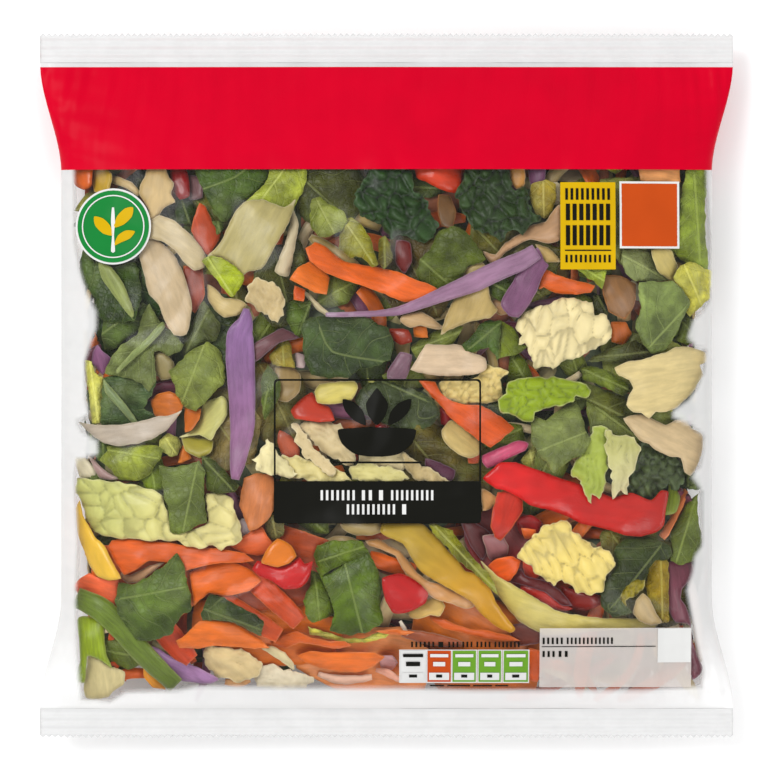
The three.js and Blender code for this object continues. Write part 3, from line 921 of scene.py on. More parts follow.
KINDS = {
    "leaf": kind_of(0.5, 0.2, 1.2, 0.5, 8.5, 0.0, 2, 0.34, 1.4, 0.22, 0.15),
    "pale": kind_of(0.5, 0.2, 1.2, 0.5, 8.5, 0.0, 2, 0.34, 1.4, 0.22, 0.15),
    "kale": kind_of(0.6, 0.25, 0.75, 0.6, 6.0, 0.0, 2, 0.85, 1.0, 0.4, 0.05),
    "savoy": kind_of(1.0, 0.5, 0.75, 0.35, 12.0, 0.0, 2, 0.45, 1.0, 0.4, 0.05),
    "chunk": kind_of(1.4, 0.7, 0.75, 0.5, 14.0, 1.2, 3, 0.6, 1.0, 0.4, 0.05),
    "heart": kind_of(0.8, 0.35, 0.75, 0.5, 5.5, 0.3, 2, 0.7, 0.8, 0.4, 0.05),
    "onion": kind_of(1.2, 0.5, 1.1, 0.25, 10.0, 0.4, 3, 0.16, 1.2, 0.5, 0.08),
    "cabbage": kind_of(1.0, 0.4, 1.1, 0.2, 15.0, 0.4, 3, 0.1, 0.8, 0.45, 0.06),
    "carrot": kind_of(1.3, 0.22, 1.1, 0.3, 11.0, 0.0, 3, 0.16, 1.4, 0.16, 0.12),
    "pepper": kind_of(2.2, 0.7, 1.2, 0.25, 15.0, 0.4, 4, 0.1, 0.8, 0.5, 0.05),
    "yellow": kind_of(2.2, 0.7, 1.2, 0.25, 15.0, 0.4, 4, 0.1, 0.8, 0.5, 0.05),
    "stalk": kind_of(1.4, 0.7, 1.1, 0.2, 16.0, 0.6, 4, 0.1, 0.6, 0.6, 0.03),
}

# The ceiling that each piece is pushed up against: a grid of one cell a millimetre over the bag.
CELL = 1.0
REACH_X = 128
REACH_Y = 120
GRID_Y, GRID_X = np.meshgrid(
    np.arange(-REACH_Y, REACH_Y + 1) * CELL, np.arange(-REACH_X, REACH_X + 1) * CELL, indexing="ij"
)
# The gaps between the film and the ceiling's start, and between one piece and the next beneath it.
FILM_GAP = 0.45
LAYER_GAP = 0.25
# No point of a piece comes nearer to the film than this.
TOP_GAP = 0.3
# How far beyond a piece's outline nothing may lie over it.
RIM_CLEAR = 0.7
# Cells round a piece that are evened out with those over it, and the passes that even them out.
DRAPE_MARGIN = 8
DRAPE_PASSES = (2, 3)
# The share of a piece (percent) that has to fit beneath the ceiling, for a hero and for a loose piece.
HERO_FIT = 98
LOOSE_FIT = 100
# What keeps a place within the grid's last cell.
GRID_EDGE = 1e-3


def sample(grid, x, y):
    """The grid's value at places between its cells."""
    column = np.clip(x / CELL + REACH_X, 0, 2 * REACH_X - GRID_EDGE)
    row = np.clip(y / CELL + REACH_Y, 0, 2 * REACH_Y - GRID_EDGE)
    i, j = row.astype(int), column.astype(int)
    s, t = row - i, column - j
    low = mix(grid[i, j], grid[i, j + 1], t)
    high = mix(grid[i + 1, j], grid[i + 1, j + 1], t)
    return mix(low, high, s)


def lowest_near(grid):
    """Each cell's lowest neighbour, itself included."""
    edged = np.pad(grid, 1, mode="edge")
    rows = np.minimum(edged[:-2], np.minimum(edged[1:-1], edged[2:]))
    return np.minimum(rows[:, :-2], np.minimum(rows[:, 1:-1], rows[:, 2:]))


def blurred(grid, times):
    """The grid with each cell made the mean of itself and its neighbours, so many times."""
    for _ in range(times):
        edged = np.pad(grid, 1, mode="edge")
        rows = (edged[:-2] + edged[1:-1] + edged[2:]) / 3
        grid = (rows[:, :-2] + rows[:, 1:-1] + rows[:, 2:]) / 3
    return grid


# Folds: how far they wander and over how many widths, their mean depth and how it varies, over how many
# widths and down to what, and how rounded their crowns are.
FOLD_WANDER = (0.55, 4.5)
FOLD_DEPTH = (0.7, 0.5, 3.5, 0.15)
FOLD_ROUND = 0.65


def folds(along, across, pitch, seed, _reach):
    """Rounded folds that run along a piece, uneven in depth: 1 on a crown, 0 in a crease."""
    wander, wander_length = FOLD_WANDER
    mean, change, change_length, least = FOLD_DEPTH
    turn = across / pitch + wander * waves(along, across, seed % 677, wander_length * pitch)
    depth = np.clip(mean + change * waves(along, across, seed % 683, change_length * pitch), least, 1)
    return 1 - depth * (1 - np.abs(np.sin(math.pi * turn)) ** FOLD_ROUND)


# How far a blister's end stands over the next one, and how far from its middle that goes on.
BLISTER_LAP = 0.45
BLISTER_LAP_REACH = 0.7
# How far the blisters' middles stray from their cells, how the rows of them bend, and their steepness.
BLISTER_STRAY = (-0.1, 1.1)
BLISTER_BEND = (0.3, 3)
BLISTER_STEEP = 1.3
# How much longer than wide a blister and a lobe are.
BLISTER_STRETCH = 1.3
LOBE_STRETCH = 2.3


def blisters(along, across, size, seed, reach, stretch=BLISTER_STRETCH):
    """Blisters between sunken veins, lapping like scales: about 1 on a crown, 0 in a crease.

    Reach is how far the piece goes along its middle line and to each side of it, and stretch how much
    longer than wide a blister is.
    """
    rng = np.random.default_rng(seed)
    bend, bend_length = BLISTER_BEND
    along = along / stretch + bend * size * waves(along, across, seed % 577, bend_length * size)
    low = np.array([-size, -reach[1] - size])
    high = np.array([reach[0] / stretch + size, reach[1] + size])
    cells = np.maximum(1, ((high - low) / size).astype(int))
    corners = np.stack(np.meshgrid(*map(np.arange, cells), indexing="ij"), -1).reshape(-1, 2)
    middles = (corners + rng.uniform(*BLISTER_STRAY, (cells.prod(), 2))) * size + low
    first = np.full(len(along), FAR_AWAY)
    second = np.full(len(along), FAR_AWAY)
    ahead = np.zeros(len(along))
    for x, y in middles:
        far = np.hypot(along - x, across - y)
        ahead = np.where(far < first, along - x, ahead)
        second = np.minimum(second, np.maximum(first, far))
        first = np.minimum(first, far)
    dome = 1 - (1 - np.clip((second - first) / size * BLISTER_STEEP, 0, 1)) ** 2
    return dome + BLISTER_LAP * np.clip(ahead / size, -BLISTER_LAP_REACH, BLISTER_LAP_REACH)


def lobes(along, across, size, seed, reach):
    """Long blisters, one lapping over the next."""
    return blisters(along, across, size, seed, reach, LOBE_STRETCH)


# How the crinkled kinds are crinkled, how widely (a share of their breadth) and how deeply (mm).
CRINKLES = {
    "savoy": (blisters, 0.19, 1.4),
    "kale": (blisters, 0.16, 2.2),
    "chunk": (lobes, 0.17, 1.4),
    "heart": (folds, 0.15, 1.2),
}
# A leaf's side veins: their spacing, their slant, how they wander, and their width and depth.
VEIN_PITCH = 6.4
VEIN_SLANT = 0.85
VEIN_WANDER = (1.1, 13.0)
VEIN_WIDTH = 0.9
VEIN_DEPTH = 0.28
# A leaf's midrib stands up, and its rim curls down: each a height and a width.
MIDRIB = (0.35, 1.2)
RIM_CURL = (0.5, 1.4)
# How rounded the bend across a piece is, and how far from the piece's middle it may lie.
BEND_ROUND = 0.6
BEND_PLACE = 0.4


def middle_line(outline):
    """The long axis of an outline, for a piece whose midrib doesn't show."""
    centre = outline.mean(0)
    spread = np.linalg.svd(outline - centre, full_matrices=False)[2][0]
    reach = (outline - centre) @ spread
    return np.array([centre + spread * reach.min(), centre + spread * reach.max()])


def strip_outline(rows, step):
    """The outline of a strip from its middle line and widths, and that line."""
    line = rounded(rows, closed=False, step=step)
    ahead = directions(np.gradient(line[:, :2], axis=0))
    aside = np.stack([-ahead[:, 1], ahead[:, 0]], -1) * line[:, 2:3] / 2
    return np.vstack([line[:, :2] + aside, (line[:, :2] - aside)[::-1]]), line[:, :2]


def form_of(kind, outline, spine, seed):
    """A function that gives local coordinates and relief at any places of a piece."""
    shape = KINDS[kind]
    rim_line = closed_line(outline)
    rng = np.random.default_rng(seed)
    angle = rng.uniform(0, 2 * math.pi)
    lean = np.array([math.cos(angle), math.sin(angle)])
    centre = outline.mean(0)
    span = np.abs((outline - centre) @ lean).max() + TINY
    tilt = shape["tilt"] * rng.uniform(0.2, 1)
    bend_angle = rng.uniform(0, math.pi)
    bend_way = np.array([math.cos(bend_angle), math.sin(bend_angle)])
    bend_at = centre @ bend_way + rng.uniform(-BEND_PLACE, BEND_PLACE) * span
    bend_slope = shape["fold"] * rng.uniform(0.3, 1) * rng.choice([-1, 1])
    breadth = math.sqrt(area(outline))
    reach = [np.abs(part).max() for part in nearest_on(outline, spine)[1:]]

    def at(places):
        """The way along and across, the distance from the rim and along a vein, the relief and the crown."""
        edge = nearest_on(places, rim_line)[0]
        _, along, across = nearest_on(places, spine)
        away = np.abs(across)
        relief = shape["wave"] * waves(places[:, 0], places[:, 1], seed % 9973, shape["length"])
        relief = relief - tilt * (1 + (places - centre) @ lean / span) / 2
        relief += bend_slope * np.sqrt((places @ bend_way - bend_at) ** 2 + BEND_ROUND)
        relief += shape["gutter"] * (1 - np.clip(away / (away + edge + 0.5), 0, 1) ** 2)
        wander = VEIN_WANDER[0] * waves(along, across, seed % 7919 + 2, VEIN_WANDER[1])
        branch = along - VEIN_SLANT * away + wander
        crown = np.ones(len(places))
        if kind in CRINKLES:
            crinkle, share, height = CRINKLES[kind]
            crown = crinkle(along, across, share * breadth, seed, reach)
            relief += height * (crown - 1)
        if kind in ("leaf", "pale"):
            vein = np.abs((branch + VEIN_PITCH / 2) % VEIN_PITCH - VEIN_PITCH / 2)
            relief -= VEIN_DEPTH * np.exp(-((vein / VEIN_WIDTH) ** 2)) * np.clip(away / 2, 0, 1)
        if kind in ("leaf", "pale", "kale"):
            relief += MIDRIB[0] * np.exp(-away / MIDRIB[1]) - RIM_CURL[0] * np.exp(-edge / RIM_CURL[1])
        return along, across, edge, branch, relief, crown

    return at


class Ceiling:
    """What the next piece is pushed up against."""

    def __init__(self):
        film = film_top(GRID_X, GRID_Y)
        self.height = film - FILM_GAP
        self.limit = film - TOP_GAP

    def take(self, kind, outline, at, sink=0.0):
        """The height of a piece's upper side as a function of place; its underside is the new ceiling."""
        shape = KINDS[kind]
        low = np.floor(outline.min(0) / CELL).astype(int) - DRAPE_MARGIN
        high = np.ceil(outline.max(0) / CELL).astype(int) + DRAPE_MARGIN
        r0, r1 = max(0, low[1] + REACH_Y), min(2 * REACH_Y, high[1] + REACH_Y) + 1
        c0, c1 = max(0, low[0] + REACH_X), min(2 * REACH_X, high[0] + REACH_X) + 1
        drape = self.height[r0:r1, c0:c1]
        for _ in range(shape["flex"]):
            drape = lowest_near(drape)
        whole = self.height.copy()
        whole[r0:r1, c0:c1] = blurred(drape, DRAPE_PASSES[0] + DRAPE_PASSES[1] * shape["flex"])
        cells = np.stack([GRID_X[r0:r1, c0:c1].ravel(), GRID_Y[r0:r1, c0:c1].ravel()], -1)
        rim = nearest_on(cells, closed_line(outline))[0]
        mask = inside(cells, outline) | (rim < RIM_CLEAR)
        covered = cells[mask]
        relief = at(covered)[4]
        loft = sample(whole, covered[:, 0], covered[:, 1]) + relief
        above = loft - sample(self.height, covered[:, 0], covered[:, 1])
        drop = max(0.0, np.percentile(above, LOOSE_FIT if sink else HERO_FIT)) + sink

        def height(places, reliefs):
            z = sample(whole, places[:, 0], places[:, 1]) + reliefs - drop
            return np.minimum(z, sample(self.limit, places[:, 0], places[:, 1]))

        under = height(covered, relief) - shape["thick"] - LAYER_GAP
        rows, columns = np.nonzero(mask.reshape(r1 - r0, c1 - c0))
        self.height[rows + r0, columns + c0] = np.minimum(self.height[rows + r0, columns + c0], under)
        return height


class Heap:
    """The pieces of one kind, gathered into one mesh."""

    def __init__(self):
        self.points, self.faces, self.tint, self.place, self.trait = [], [], [], [], []
        self.count = 0

    def add(self, top, foot, faces, tint, place, trait):
        """Close a piece between its upper and its under side, and take it in with its attributes."""
        n = len(top)
        rim = [(b, a, a + n, b + n) for a, b in border(faces)]
        flipped = [tuple(corner + n for corner in face[::-1]) for face in faces]
        shift = self.count
        self.faces += [tuple(c + shift for c in face) for face in list(faces) + flipped + rim]
        self.points += [top, foot]
        tints = np.column_stack([np.broadcast_to(tint, (n, 3)), np.ones(n)])
        self.tint += [tints, tints]
        self.place += [place, place]
        self.trait += [trait, trait]
        self.count += 2 * n

    def make(self, name, slot, paint):
        """The mesh of all the pieces that were taken in."""
        layers = {
            "tint": np.concatenate(self.tint),
            "place": np.concatenate(self.place),
            "trait": np.concatenate(self.trait),
        }
        make_mesh(name, np.concatenate(self.points), self.faces, paint, layers)


def rim_drop(edge, radius):
    """How far a rounded rim falls away towards the edge."""
    t = np.clip(1 - edge / radius, 0, 1)
    return radius * (1 - np.sqrt(np.clip(1 - t * t, 0, 1)))


def add_piece(heap, kind, tints, outline, spine, seed, ceiling, sink=0.0, coarse=1.0):
    """Shape a piece, push it up into its place and put it on its heap. Tints are for its two ends."""
    shape = KINDS[kind]
    at = form_of(kind, outline, spine, seed)
    height = ceiling.take(kind, outline, at, sink)
    places, faces = filled(outline, shape["mesh"] * coarse)
    along, across, edge, branch, relief, crown = at(places)
    z = height(places, relief)
    fall = rim_drop(edge, shape["rim"])
    top = np.column_stack([places, z - fall])
    foot = np.column_stack([places, z - shape["thick"] + fall])
    rng = np.random.default_rng(seed + 5)
    place = np.column_stack([along, across, edge])
    trait = np.column_stack([np.full(len(places), rng.random()), branch, crown])
    share = smooth(along / max(along.max(), TINY))[:, None]
    heap.add(top, foot, faces, mix(tints[0], tints[-1], share), place, trait)


# ---------------------------------------------------------------- colours

# What the film does to a colour: the light that it scatters, and the share it lets through.
VEIL = np.array([0.029, 0.031, 0.040])
LIGHT_GAIN = 0.90
# The darkest and the lightest paint of a piece.
TONE_RANGE = (0.003, 0.95)
# How much brighter a print comes out than its paint.
PRINT_LIGHT = 1.3
COAT_ROUGH = 0.12


def ink(red, green, blue):
    """A screen colour (sRGB) as the render's linear values."""
    parts = np.array([red, green, blue]) / 255
    return np.where(parts <= 0.04045, parts / 12.92, ((parts + 0.055) / 1.055) ** 2.4)


def behind_film(colour):
    """The colour of a piece that looks like this through the film."""
    return np.clip((ink(*colour) - VEIL) * LIGHT_GAIN, *TONE_RANGE)


class Paint:
    """A material in the making: short names for the nodes that it takes."""

    def __init__(self, name):
        self.material = bpy.data.materials.new(name)
        self.material.use_nodes = True
        self.tree = self.material.node_tree
        self.shader = self.tree.nodes["Principled BSDF"]
        self.surface = self.tree.nodes["Material Output"].inputs["Surface"]

    def node(self, kind, **settings):
        """A new node with its settings."""
        made = self.tree.nodes.new(kind)
        for key, value in settings.items():
            setattr(made, key, value)
        return made

    def link(self, source, target):
        """Set a socket to a number or a colour, or link it to another node's output."""
        if isinstance(source, (int, float)):
            target.default_value = source
        elif isinstance(source, (tuple, list, np.ndarray)):
            target.default_value = [*source, 1.0][:len(target.default_value)]
        else:
            self.tree.links.new(source, target)

    def attribute(self, name):
        """The node that reads one of the mesh's attributes."""
        return self.node("ShaderNodeAttribute", attribute_name=name)

    def parts(self, name):
        """The three numbers of an attribute."""
        split = self.node("ShaderNodeSeparateXYZ")
        self.link(self.attribute(name).outputs["Vector"], split.inputs[0])
        return split.outputs

    def place(self):
        """The place on the object itself, in metres."""
        return self.node("ShaderNodeTexCoord").outputs["Object"]

    def math(self, operation, *values):
        """One sum of numbers or outputs."""
        made = self.node("ShaderNodeMath", operation=operation)
        for value, socket in zip(values, made.inputs):
            self.link(value, socket)
        return made.outputs[0]

    def fade(self, value, start, end, low=0.0, high=1.0):
        """From low where the value is start to high where it is end."""
        made = self.node("ShaderNodeMapRange", interpolation_type="SMOOTHSTEP", clamp=True)
        for part, socket in zip((value, start, end, low, high), made.inputs):
            self.link(part, socket)
        return made.outputs[0]

    def blend(self, share, first, second, mode="MIX"):
        """The first colour with a share of the second mixed in."""
        made = self.node("ShaderNodeMix", data_type="RGBA", blend_type=mode, clamp_factor=True)
        self.link(share, made.inputs[0])
        self.link(first, made.inputs[6])
        self.link(second, made.inputs[7])
        return made.outputs[2]

    def vector(self, x, y, z):
        """Three numbers as one vector or colour."""
        made = self.node("ShaderNodeCombineXYZ")
        for value, socket in zip((x, y, z), made.inputs):
            self.link(value, socket)
        return made.outputs[0]

    def noise(self, scale, detail=2.0, at=None, rough=0.5, twist=0.0):
        """Smooth noise from 0 to 1, with so many waves in a metre."""
        made = self.node("ShaderNodeTexNoise")
        self.link(self.place() if at is None else at, made.inputs["Vector"])
        made.inputs["Scale"].default_value = scale
        made.inputs["Detail"].default_value = detail
        made.inputs["Roughness"].default_value = rough
        made.inputs["Distortion"].default_value = twist
        return made.outputs["Fac"]

    def cells(self, scale, feature):
        """The outputs of a pattern of uneven cells, so many in a metre."""
        made = self.node("ShaderNodeTexVoronoi", feature=feature)
        self.link(self.place(), made.inputs["Vector"])
        made.inputs["Scale"].default_value = scale
        return made.outputs

    def bump(self, height, distance, strength):
        """Fine relief of the surface."""
        made = self.node("ShaderNodeBump")
        made.inputs["Strength"].default_value = strength
        made.inputs["Distance"].default_value = distance
        self.link(height, made.inputs["Height"])
        self.link(made.outputs["Normal"], self.shader.inputs["Normal"])

    def finish(self, colour, rough, coat=0.0, sheen=0.5):
        """Set what the surface looks like, and hand over the material."""
        self.link(colour, self.shader.inputs["Base Color"])
        self.link(rough, self.shader.inputs["Roughness"])
        self.shader.inputs["Specular IOR Level"].default_value = sheen
        self.shader.inputs["Coat Weight"].default_value = coat
        self.shader.inputs["Coat Roughness"].default_value = COAT_ROUGH
        return self.material


def shaded(paint, tint, share):
    """The tint made darker or lighter by a share."""
    return paint.blend(1.0, tint, paint.vector(share, share, share), "MULTIPLY")


def varied(paint, colour, low, high, scale):
    """The colour, darker and lighter from place to place."""
    return shaded(paint, colour, paint.fade(paint.noise(scale, 3.0), 0.3, 0.7, low, high))


# In the paints below, a fade's four numbers are its start and end and what it gives there.


def leaf_paint(name, vein_colour, painted_sheen_colour):
    """A waxy leaf: a midrib, faint side veins that run out from it with painted shade along them, and painted
    sheen in patches.
    """
    paint = Paint(name)
    tint = paint.attribute("tint").outputs["Color"]
    across, edge = paint.parts("place")[1:]
    branch = paint.parts("trait")[1]
    colour = varied(paint, tint, 0.52, 1.34, 85.0)
    colour = varied(paint, colour, 0.72, 1.22, 210.0)
    # Painted sheen: paler patches of the sheen colour, where a gloss would catch the light.
    painted_sheen = paint.fade(paint.noise(60.0, 2.0, twist=0.6), 0.48, 0.70, 0.0, 0.3)
    colour = paint.blend(painted_sheen, colour, painted_sheen_colour)
    away = paint.math("ABSOLUTE", across)
    side = paint.math("PINGPONG", branch, VEIN_PITCH / 2)
    patchy = paint.fade(paint.noise(70.0, 1.0), 0.35, 0.6, 0.1, 0.55)
    side_vein = paint.math("MULTIPLY", paint.fade(side, 0.36, 0.06), patchy)
    midrib = paint.fade(away, 0.6, 0.2, 0.0, 0.8)
    vein = paint.math("MAXIMUM", side_vein, midrib)
    pale = paint.blend(0.3, shaded(paint, tint, 1.3), vein_colour)
    # Painted shade: darker along the sunken side veins.
    painted_vein_shade = paint.fade(side, 1.6, 0.3, 0.0, 0.3)
    colour = paint.blend(painted_vein_shade, colour, shaded(paint, tint, 0.6))
    colour = paint.blend(paint.math("MULTIPLY", vein, 0.75), colour, pale)
    colour = paint.blend(paint.fade(edge, 0.4, 0.0, 0.0, 0.3), colour, pale)
    fine = paint.fade(paint.cells(430.0, "DISTANCE_TO_EDGE")[0], 0.12, 0.0)
    height = paint.math("ADD", paint.math("MULTIPLY", vein, -0.6), paint.noise(420.0, 3.0))
    height = paint.math("ADD", height, paint.math("MULTIPLY", fine, -0.25))
    paint.bump(height, 0.0006, 0.8)
    return paint.finish(colour, 0.38, sheen=0.25)


def savoy_paint(name, crease_shade, painted_crown_light, rim_colour):
    """A blistered leaf: painted shade in its creases, a painted highlight on its crowns, and lighter at its
    rim.
    """
    paint = Paint(name)
    tint = paint.attribute("tint").outputs["Color"]
    edge = paint.parts("place")[2]
    crown = paint.parts("trait")[2]
    colour = varied(paint, tint, 0.9, 1.1, 110.0)
    # Painted highlight: lighter on the blisters' crowns.
    colour = paint.blend(paint.fade(crown, 0.75, 1.25), colour, shaded(paint, tint, painted_crown_light))
    # Painted shade: darker in the creases between them.
    crease = paint.fade(crown, 0.5, -0.05, 0.0, 0.9)
    colour = paint.blend(crease, colour, shaded(paint, tint, crease_shade))
    colour = paint.blend(paint.fade(edge, 0.7, 0.0, 0.0, 0.35), colour, rim_colour)
    paint.bump(paint.noise(500.0, 3.0), 0.0004, 0.5)
    return paint.finish(colour, 0.42, sheen=0.3)


# Fibres: how often they change in a millimetre along a piece, and how far one piece's are from the next's.
FIBRE_ALONG = 0.11
FIBRE_APART = 40.0


def fibre_paint(name, edge_colour, edge_reach, edge_share, grain, rough, coat, across_scale):
    """Flesh or skin with fibres along it and a rim of another tone; grain is how far the fibres show."""
    paint = Paint(name)
    tint = paint.attribute("tint").outputs["Color"]
    along, across, edge = paint.parts("place")
    tone = paint.parts("trait")[0]
    lane = paint.vector(
        paint.math("MULTIPLY", along, FIBRE_ALONG),
        paint.math("MULTIPLY", across, across_scale),
        paint.math("MULTIPLY", tone, FIBRE_APART),
    )
    fibres = paint.noise(1.0, 4.0, lane, 0.6, 0.3)
    shade = paint.fade(fibres, 0.3, 0.7, 1 - grain, 1 + 0.8 * grain)
    colour = shaded(paint, tint, shade)
    colour = varied(paint, colour, 1 - 0.7 * grain, 1 + 0.6 * grain, 90.0)
    colour = paint.blend(paint.fade(edge, edge_reach, 0.0, 0.0, edge_share), colour, edge_colour)
    height = paint.math("ADD", fibres, paint.math("MULTIPLY", paint.noise(400.0, 3.0), 0.5))
    paint.bump(height, 0.0005, min(1.0, 3 * grain))
    return paint.finish(colour, rough, coat, 0.35)


# How much light the film scatters: where it lies on the filling, at its milky edges and at a seal.
FILM_HAZE = 0.006
MOST_HAZE = 0.90
SEAL_HAZE = 0.80
# How far the haze varies from place to place, as a share of itself.
FILM_SPREAD = 0.4
SEAL_SPREAD = 0.06
# How the film shines, and how white it is where it scatters.
FILM_SHINE = 0.27
FILM_ROUGH = 0.17
FILM_INDEX = 1.5
FILM_WHITE = 0.93
SEAL_WHITE = 0.72


def film_paint(name, haze, spread, white, most=0.0):
    """Clear film: it lets light through, scatters a little and shines by its angle.

    Most is the haze where the mesh's milk is 1.
    """
    paint = Paint(name)
    paint.tree.nodes.remove(paint.shader)
    clear = paint.node("ShaderNodeBsdfTransparent")
    milky = paint.node("ShaderNodeBsdfDiffuse")
    milky.inputs["Color"].default_value = (white, white, white, 1)
    gloss = paint.node("ShaderNodeBsdfGlossy")
    gloss.inputs["Roughness"].default_value = FILM_ROUGH
    shine = paint.node("ShaderNodeFresnel")
    shine.inputs["IOR"].default_value = FILM_INDEX
    body = paint.node("ShaderNodeMixShader")
    share = paint.fade(paint.noise(90.0, 3.0), 0.3, 0.75, haze * (1 - spread), haze * (1 + spread))
    if most:
        milk = paint.math("MULTIPLY", paint.parts("milk")[0], most)
        share = paint.math("MAXIMUM", share, milk)
    paint.link(share, body.inputs[0])
    paint.link(clear.outputs[0], body.inputs[1])
    paint.link(milky.outputs[0], body.inputs[2])
    whole = paint.node("ShaderNodeMixShader")
    paint.link(paint.math("MULTIPLY", shine.outputs[0], FILM_SHINE), whole.inputs[0])
    paint.link(body.outputs[0], whole.inputs[1])
    paint.link(gloss.outputs[0], whole.inputs[2])
    paint.link(whole.outputs[0], paint.surface)
    return paint.material


def print_paint(name, colour, clear=0.0):
    """Ink under the gloss of the film; a frosted ink lets some of what is behind it show."""
    paint = Paint(name)
    shade = paint.fade(paint.noise(60.0, 3.0), 0.3, 0.7, 0.965, 1.02)
    base = shaded(paint, ink(*colour) / PRINT_LIGHT, shade)
    made = paint.finish(base, 0.35, sheen=0.04)
    if clear:
        see = paint.node("ShaderNodeBsdfTransparent")
        body = paint.node("ShaderNodeMixShader")
        body.inputs[0].default_value = clear
        paint.link(paint.shader.outputs[0], body.inputs[1])
        paint.link(see.outputs[0], body.inputs[2])
        paint.link(body.outputs[0], paint.surface)
    return made


# ---------------------------------------------------------------- the filling

# Points of pieces that meet the red band's lower edge (pixels) go on beneath it by so much.
HEADER_FOOT = 172
HEADER_TUCK = 16

# For each kind, the piece's name and the name of its slot in the record; the slot name is not used.
NAMES = {
    "leaf": ("leaves", "green_leaf"),
    "pale": ("pale_leaves", "pale_leaf"),
    "kale": ("kale", "crinkled_leaf"),
    "savoy": ("savoy_hearts", "crinkled_leaf"),
    "chunk": ("crinkled_chunks", "crinkled_leaf"),
    "heart": ("shredded_heart", "crinkled_leaf"),
    "onion": ("pale_shreds", "white_stalk"),
    "cabbage": ("red_cabbage", "red_cabbage"),
    "carrot": ("carrot_ribbons", "carrot"),
    "pepper": ("red_pepper_strips", "red_pepper"),
    "yellow": ("yellow_pepper_strips", "yellow_pepper"),
    "stalk": ("stalks", "green_stalk"),
}


def read_row(text):
    """A row's places in millimetres; a third number at a point is a width in pixels."""
    rows = []
    for pair in text.split():
        parts = [float(part) for part in pair.split(",")]
        if parts[1] <= HEADER_FOOT:
            parts[1] -= HEADER_TUCK
        x, y = spot(parts[0], parts[1])
        rows.append((x, y, *(width * MM_PER_PX for width in parts[2:])))
    return np.array(rows)


# The bites in an outline: their shares and their wavelengths.
BITES = ((0.6, 4.2), (0.4, 2.3))


def ragged(outline, amount, seed):
    """The outline with small uneven bites along it."""
    ahead = directions(np.roll(outline, -1, 0) - np.roll(outline, 1, 0))
    out = np.stack([ahead[:, 1], -ahead[:, 0]], -1)
    bite = sum(
        waves(outline[:, 0], outline[:, 1], seed % 8887 + 3 * i, length) * share
        for i, (share, length) in enumerate(BITES)
    )
    return outline + out * (bite * amount)[:, None]


# The seed of the first hero, and the step to the next one's.
HERO_SEEDS = (1000, 37)
# The spacing of the points on a strip's rim, and on a midrib.
STRIP_STEP = 1.3
SPINE_STEP = 4.0


def place_heroes(heaps, ceiling):
    """Put the pieces that were read off the photograph in their places, uppermost first."""
    for i, (kind, colour, text, spine_text, *far_colour) in enumerate(PIECES):
        rows = read_row(text)
        seed = HERO_SEEDS[0] + HERO_SEEDS[1] * i
        if rows.shape[1] == 3:
            outline, spine = strip_outline(rows, STRIP_STEP)
        else:
            outline = rounded(rows, curve=KINDS[kind]["curve"])
            spine = middle_line(outline)
            if spine_text:
                spine = rounded(read_row(spine_text), False, SPINE_STEP)
        outline = ragged(outline, KINDS[kind]["ragged"], seed)
        tints = [behind_film(tone) for tone in (colour, *far_colour)]
        add_piece(heaps[kind], kind, tints, outline, spine, seed, ceiling)


# Loose pieces beneath those, by the part of the bag: a kind, its share, its colours, length and width (mm).
FILLER_HEAD = [
    ("leaf", 0.40, [(84, 98, 52), (104, 116, 58), (126, 136, 74), (74, 86, 48)], (10, 24), (8, 16)),
    ("carrot", 0.12, [(196, 96, 56), (208, 108, 58)], (14, 34), (3, 7)),
    ("onion", 0.28, [(204, 180, 130), (190, 166, 110), (214, 194, 154)], (12, 30), (2.5, 7)),
    ("cabbage", 0.12, [(140, 92, 118), (112, 68, 84)], (14, 36), (2, 6)),
    ("pale", 0.08, [(166, 164, 82), (150, 152, 70)], (10, 20), (6, 12)),
]
FILLER_FOOT = [
    ("carrot", 0.40, [(222, 105, 55), (230, 118, 60), (205, 88, 50)], (16, 40), (3, 7)),
    ("onion", 0.26, [(216, 194, 148), (206, 178, 130), (222, 206, 170)], (12, 34), (2.5, 6)),
    ("cabbage", 0.12, [(145, 98, 128), (112, 66, 80)], (14, 36), (2, 5)),
    ("leaf", 0.16, [(88, 104, 58), (112, 126, 70)], (9, 20), (7, 13)),
    ("pepper", 0.06, [(205, 50, 50), (190, 60, 45)], (9, 20), (4, 8)),
]
FILLERS = 230
# Below this place along the bag, the foot's mix of pieces lies.
FILLER_SPLIT = -45.0
# The seed of their places, and the seeds of their forms as for the heroes.
FILLER_SEED = 77
FILLER_SEEDS = (5000, 31)
# How far a loose piece lies below the lowest place that it would fit, and how much coarser its points are.
FILLER_SINK = 0.25
FILLER_COARSE = 1.5
# How dark or light a loose piece may be against its colour.
FILLER_TONE = (0.88, 1.1)
# Loose pieces go where less than this lies over them, the likelier the less it is.
OPEN_DEPTH = 4.5
OPEN_PASSES = 4
OPEN_POWER = 3
# The loose pieces keep within this share of the filling's edge, and this far from the side folds.
FILLER_FIELD = 0.975
FILLER_SIDE = 4.0


def pick_filler(rng, y):
    """The kind, colour, length and width of a loose piece for a place along the bag."""
    menu = FILLER_FOOT if y < FILLER_SPLIT else FILLER_HEAD
    row = menu[rng.choice(len(menu), p=[entry[1] for entry in menu])]
    kind, _, colours, lengths, widths = row
    return kind, colours[rng.integers(len(colours))], rng.uniform(*lengths), rng.uniform(*widths)


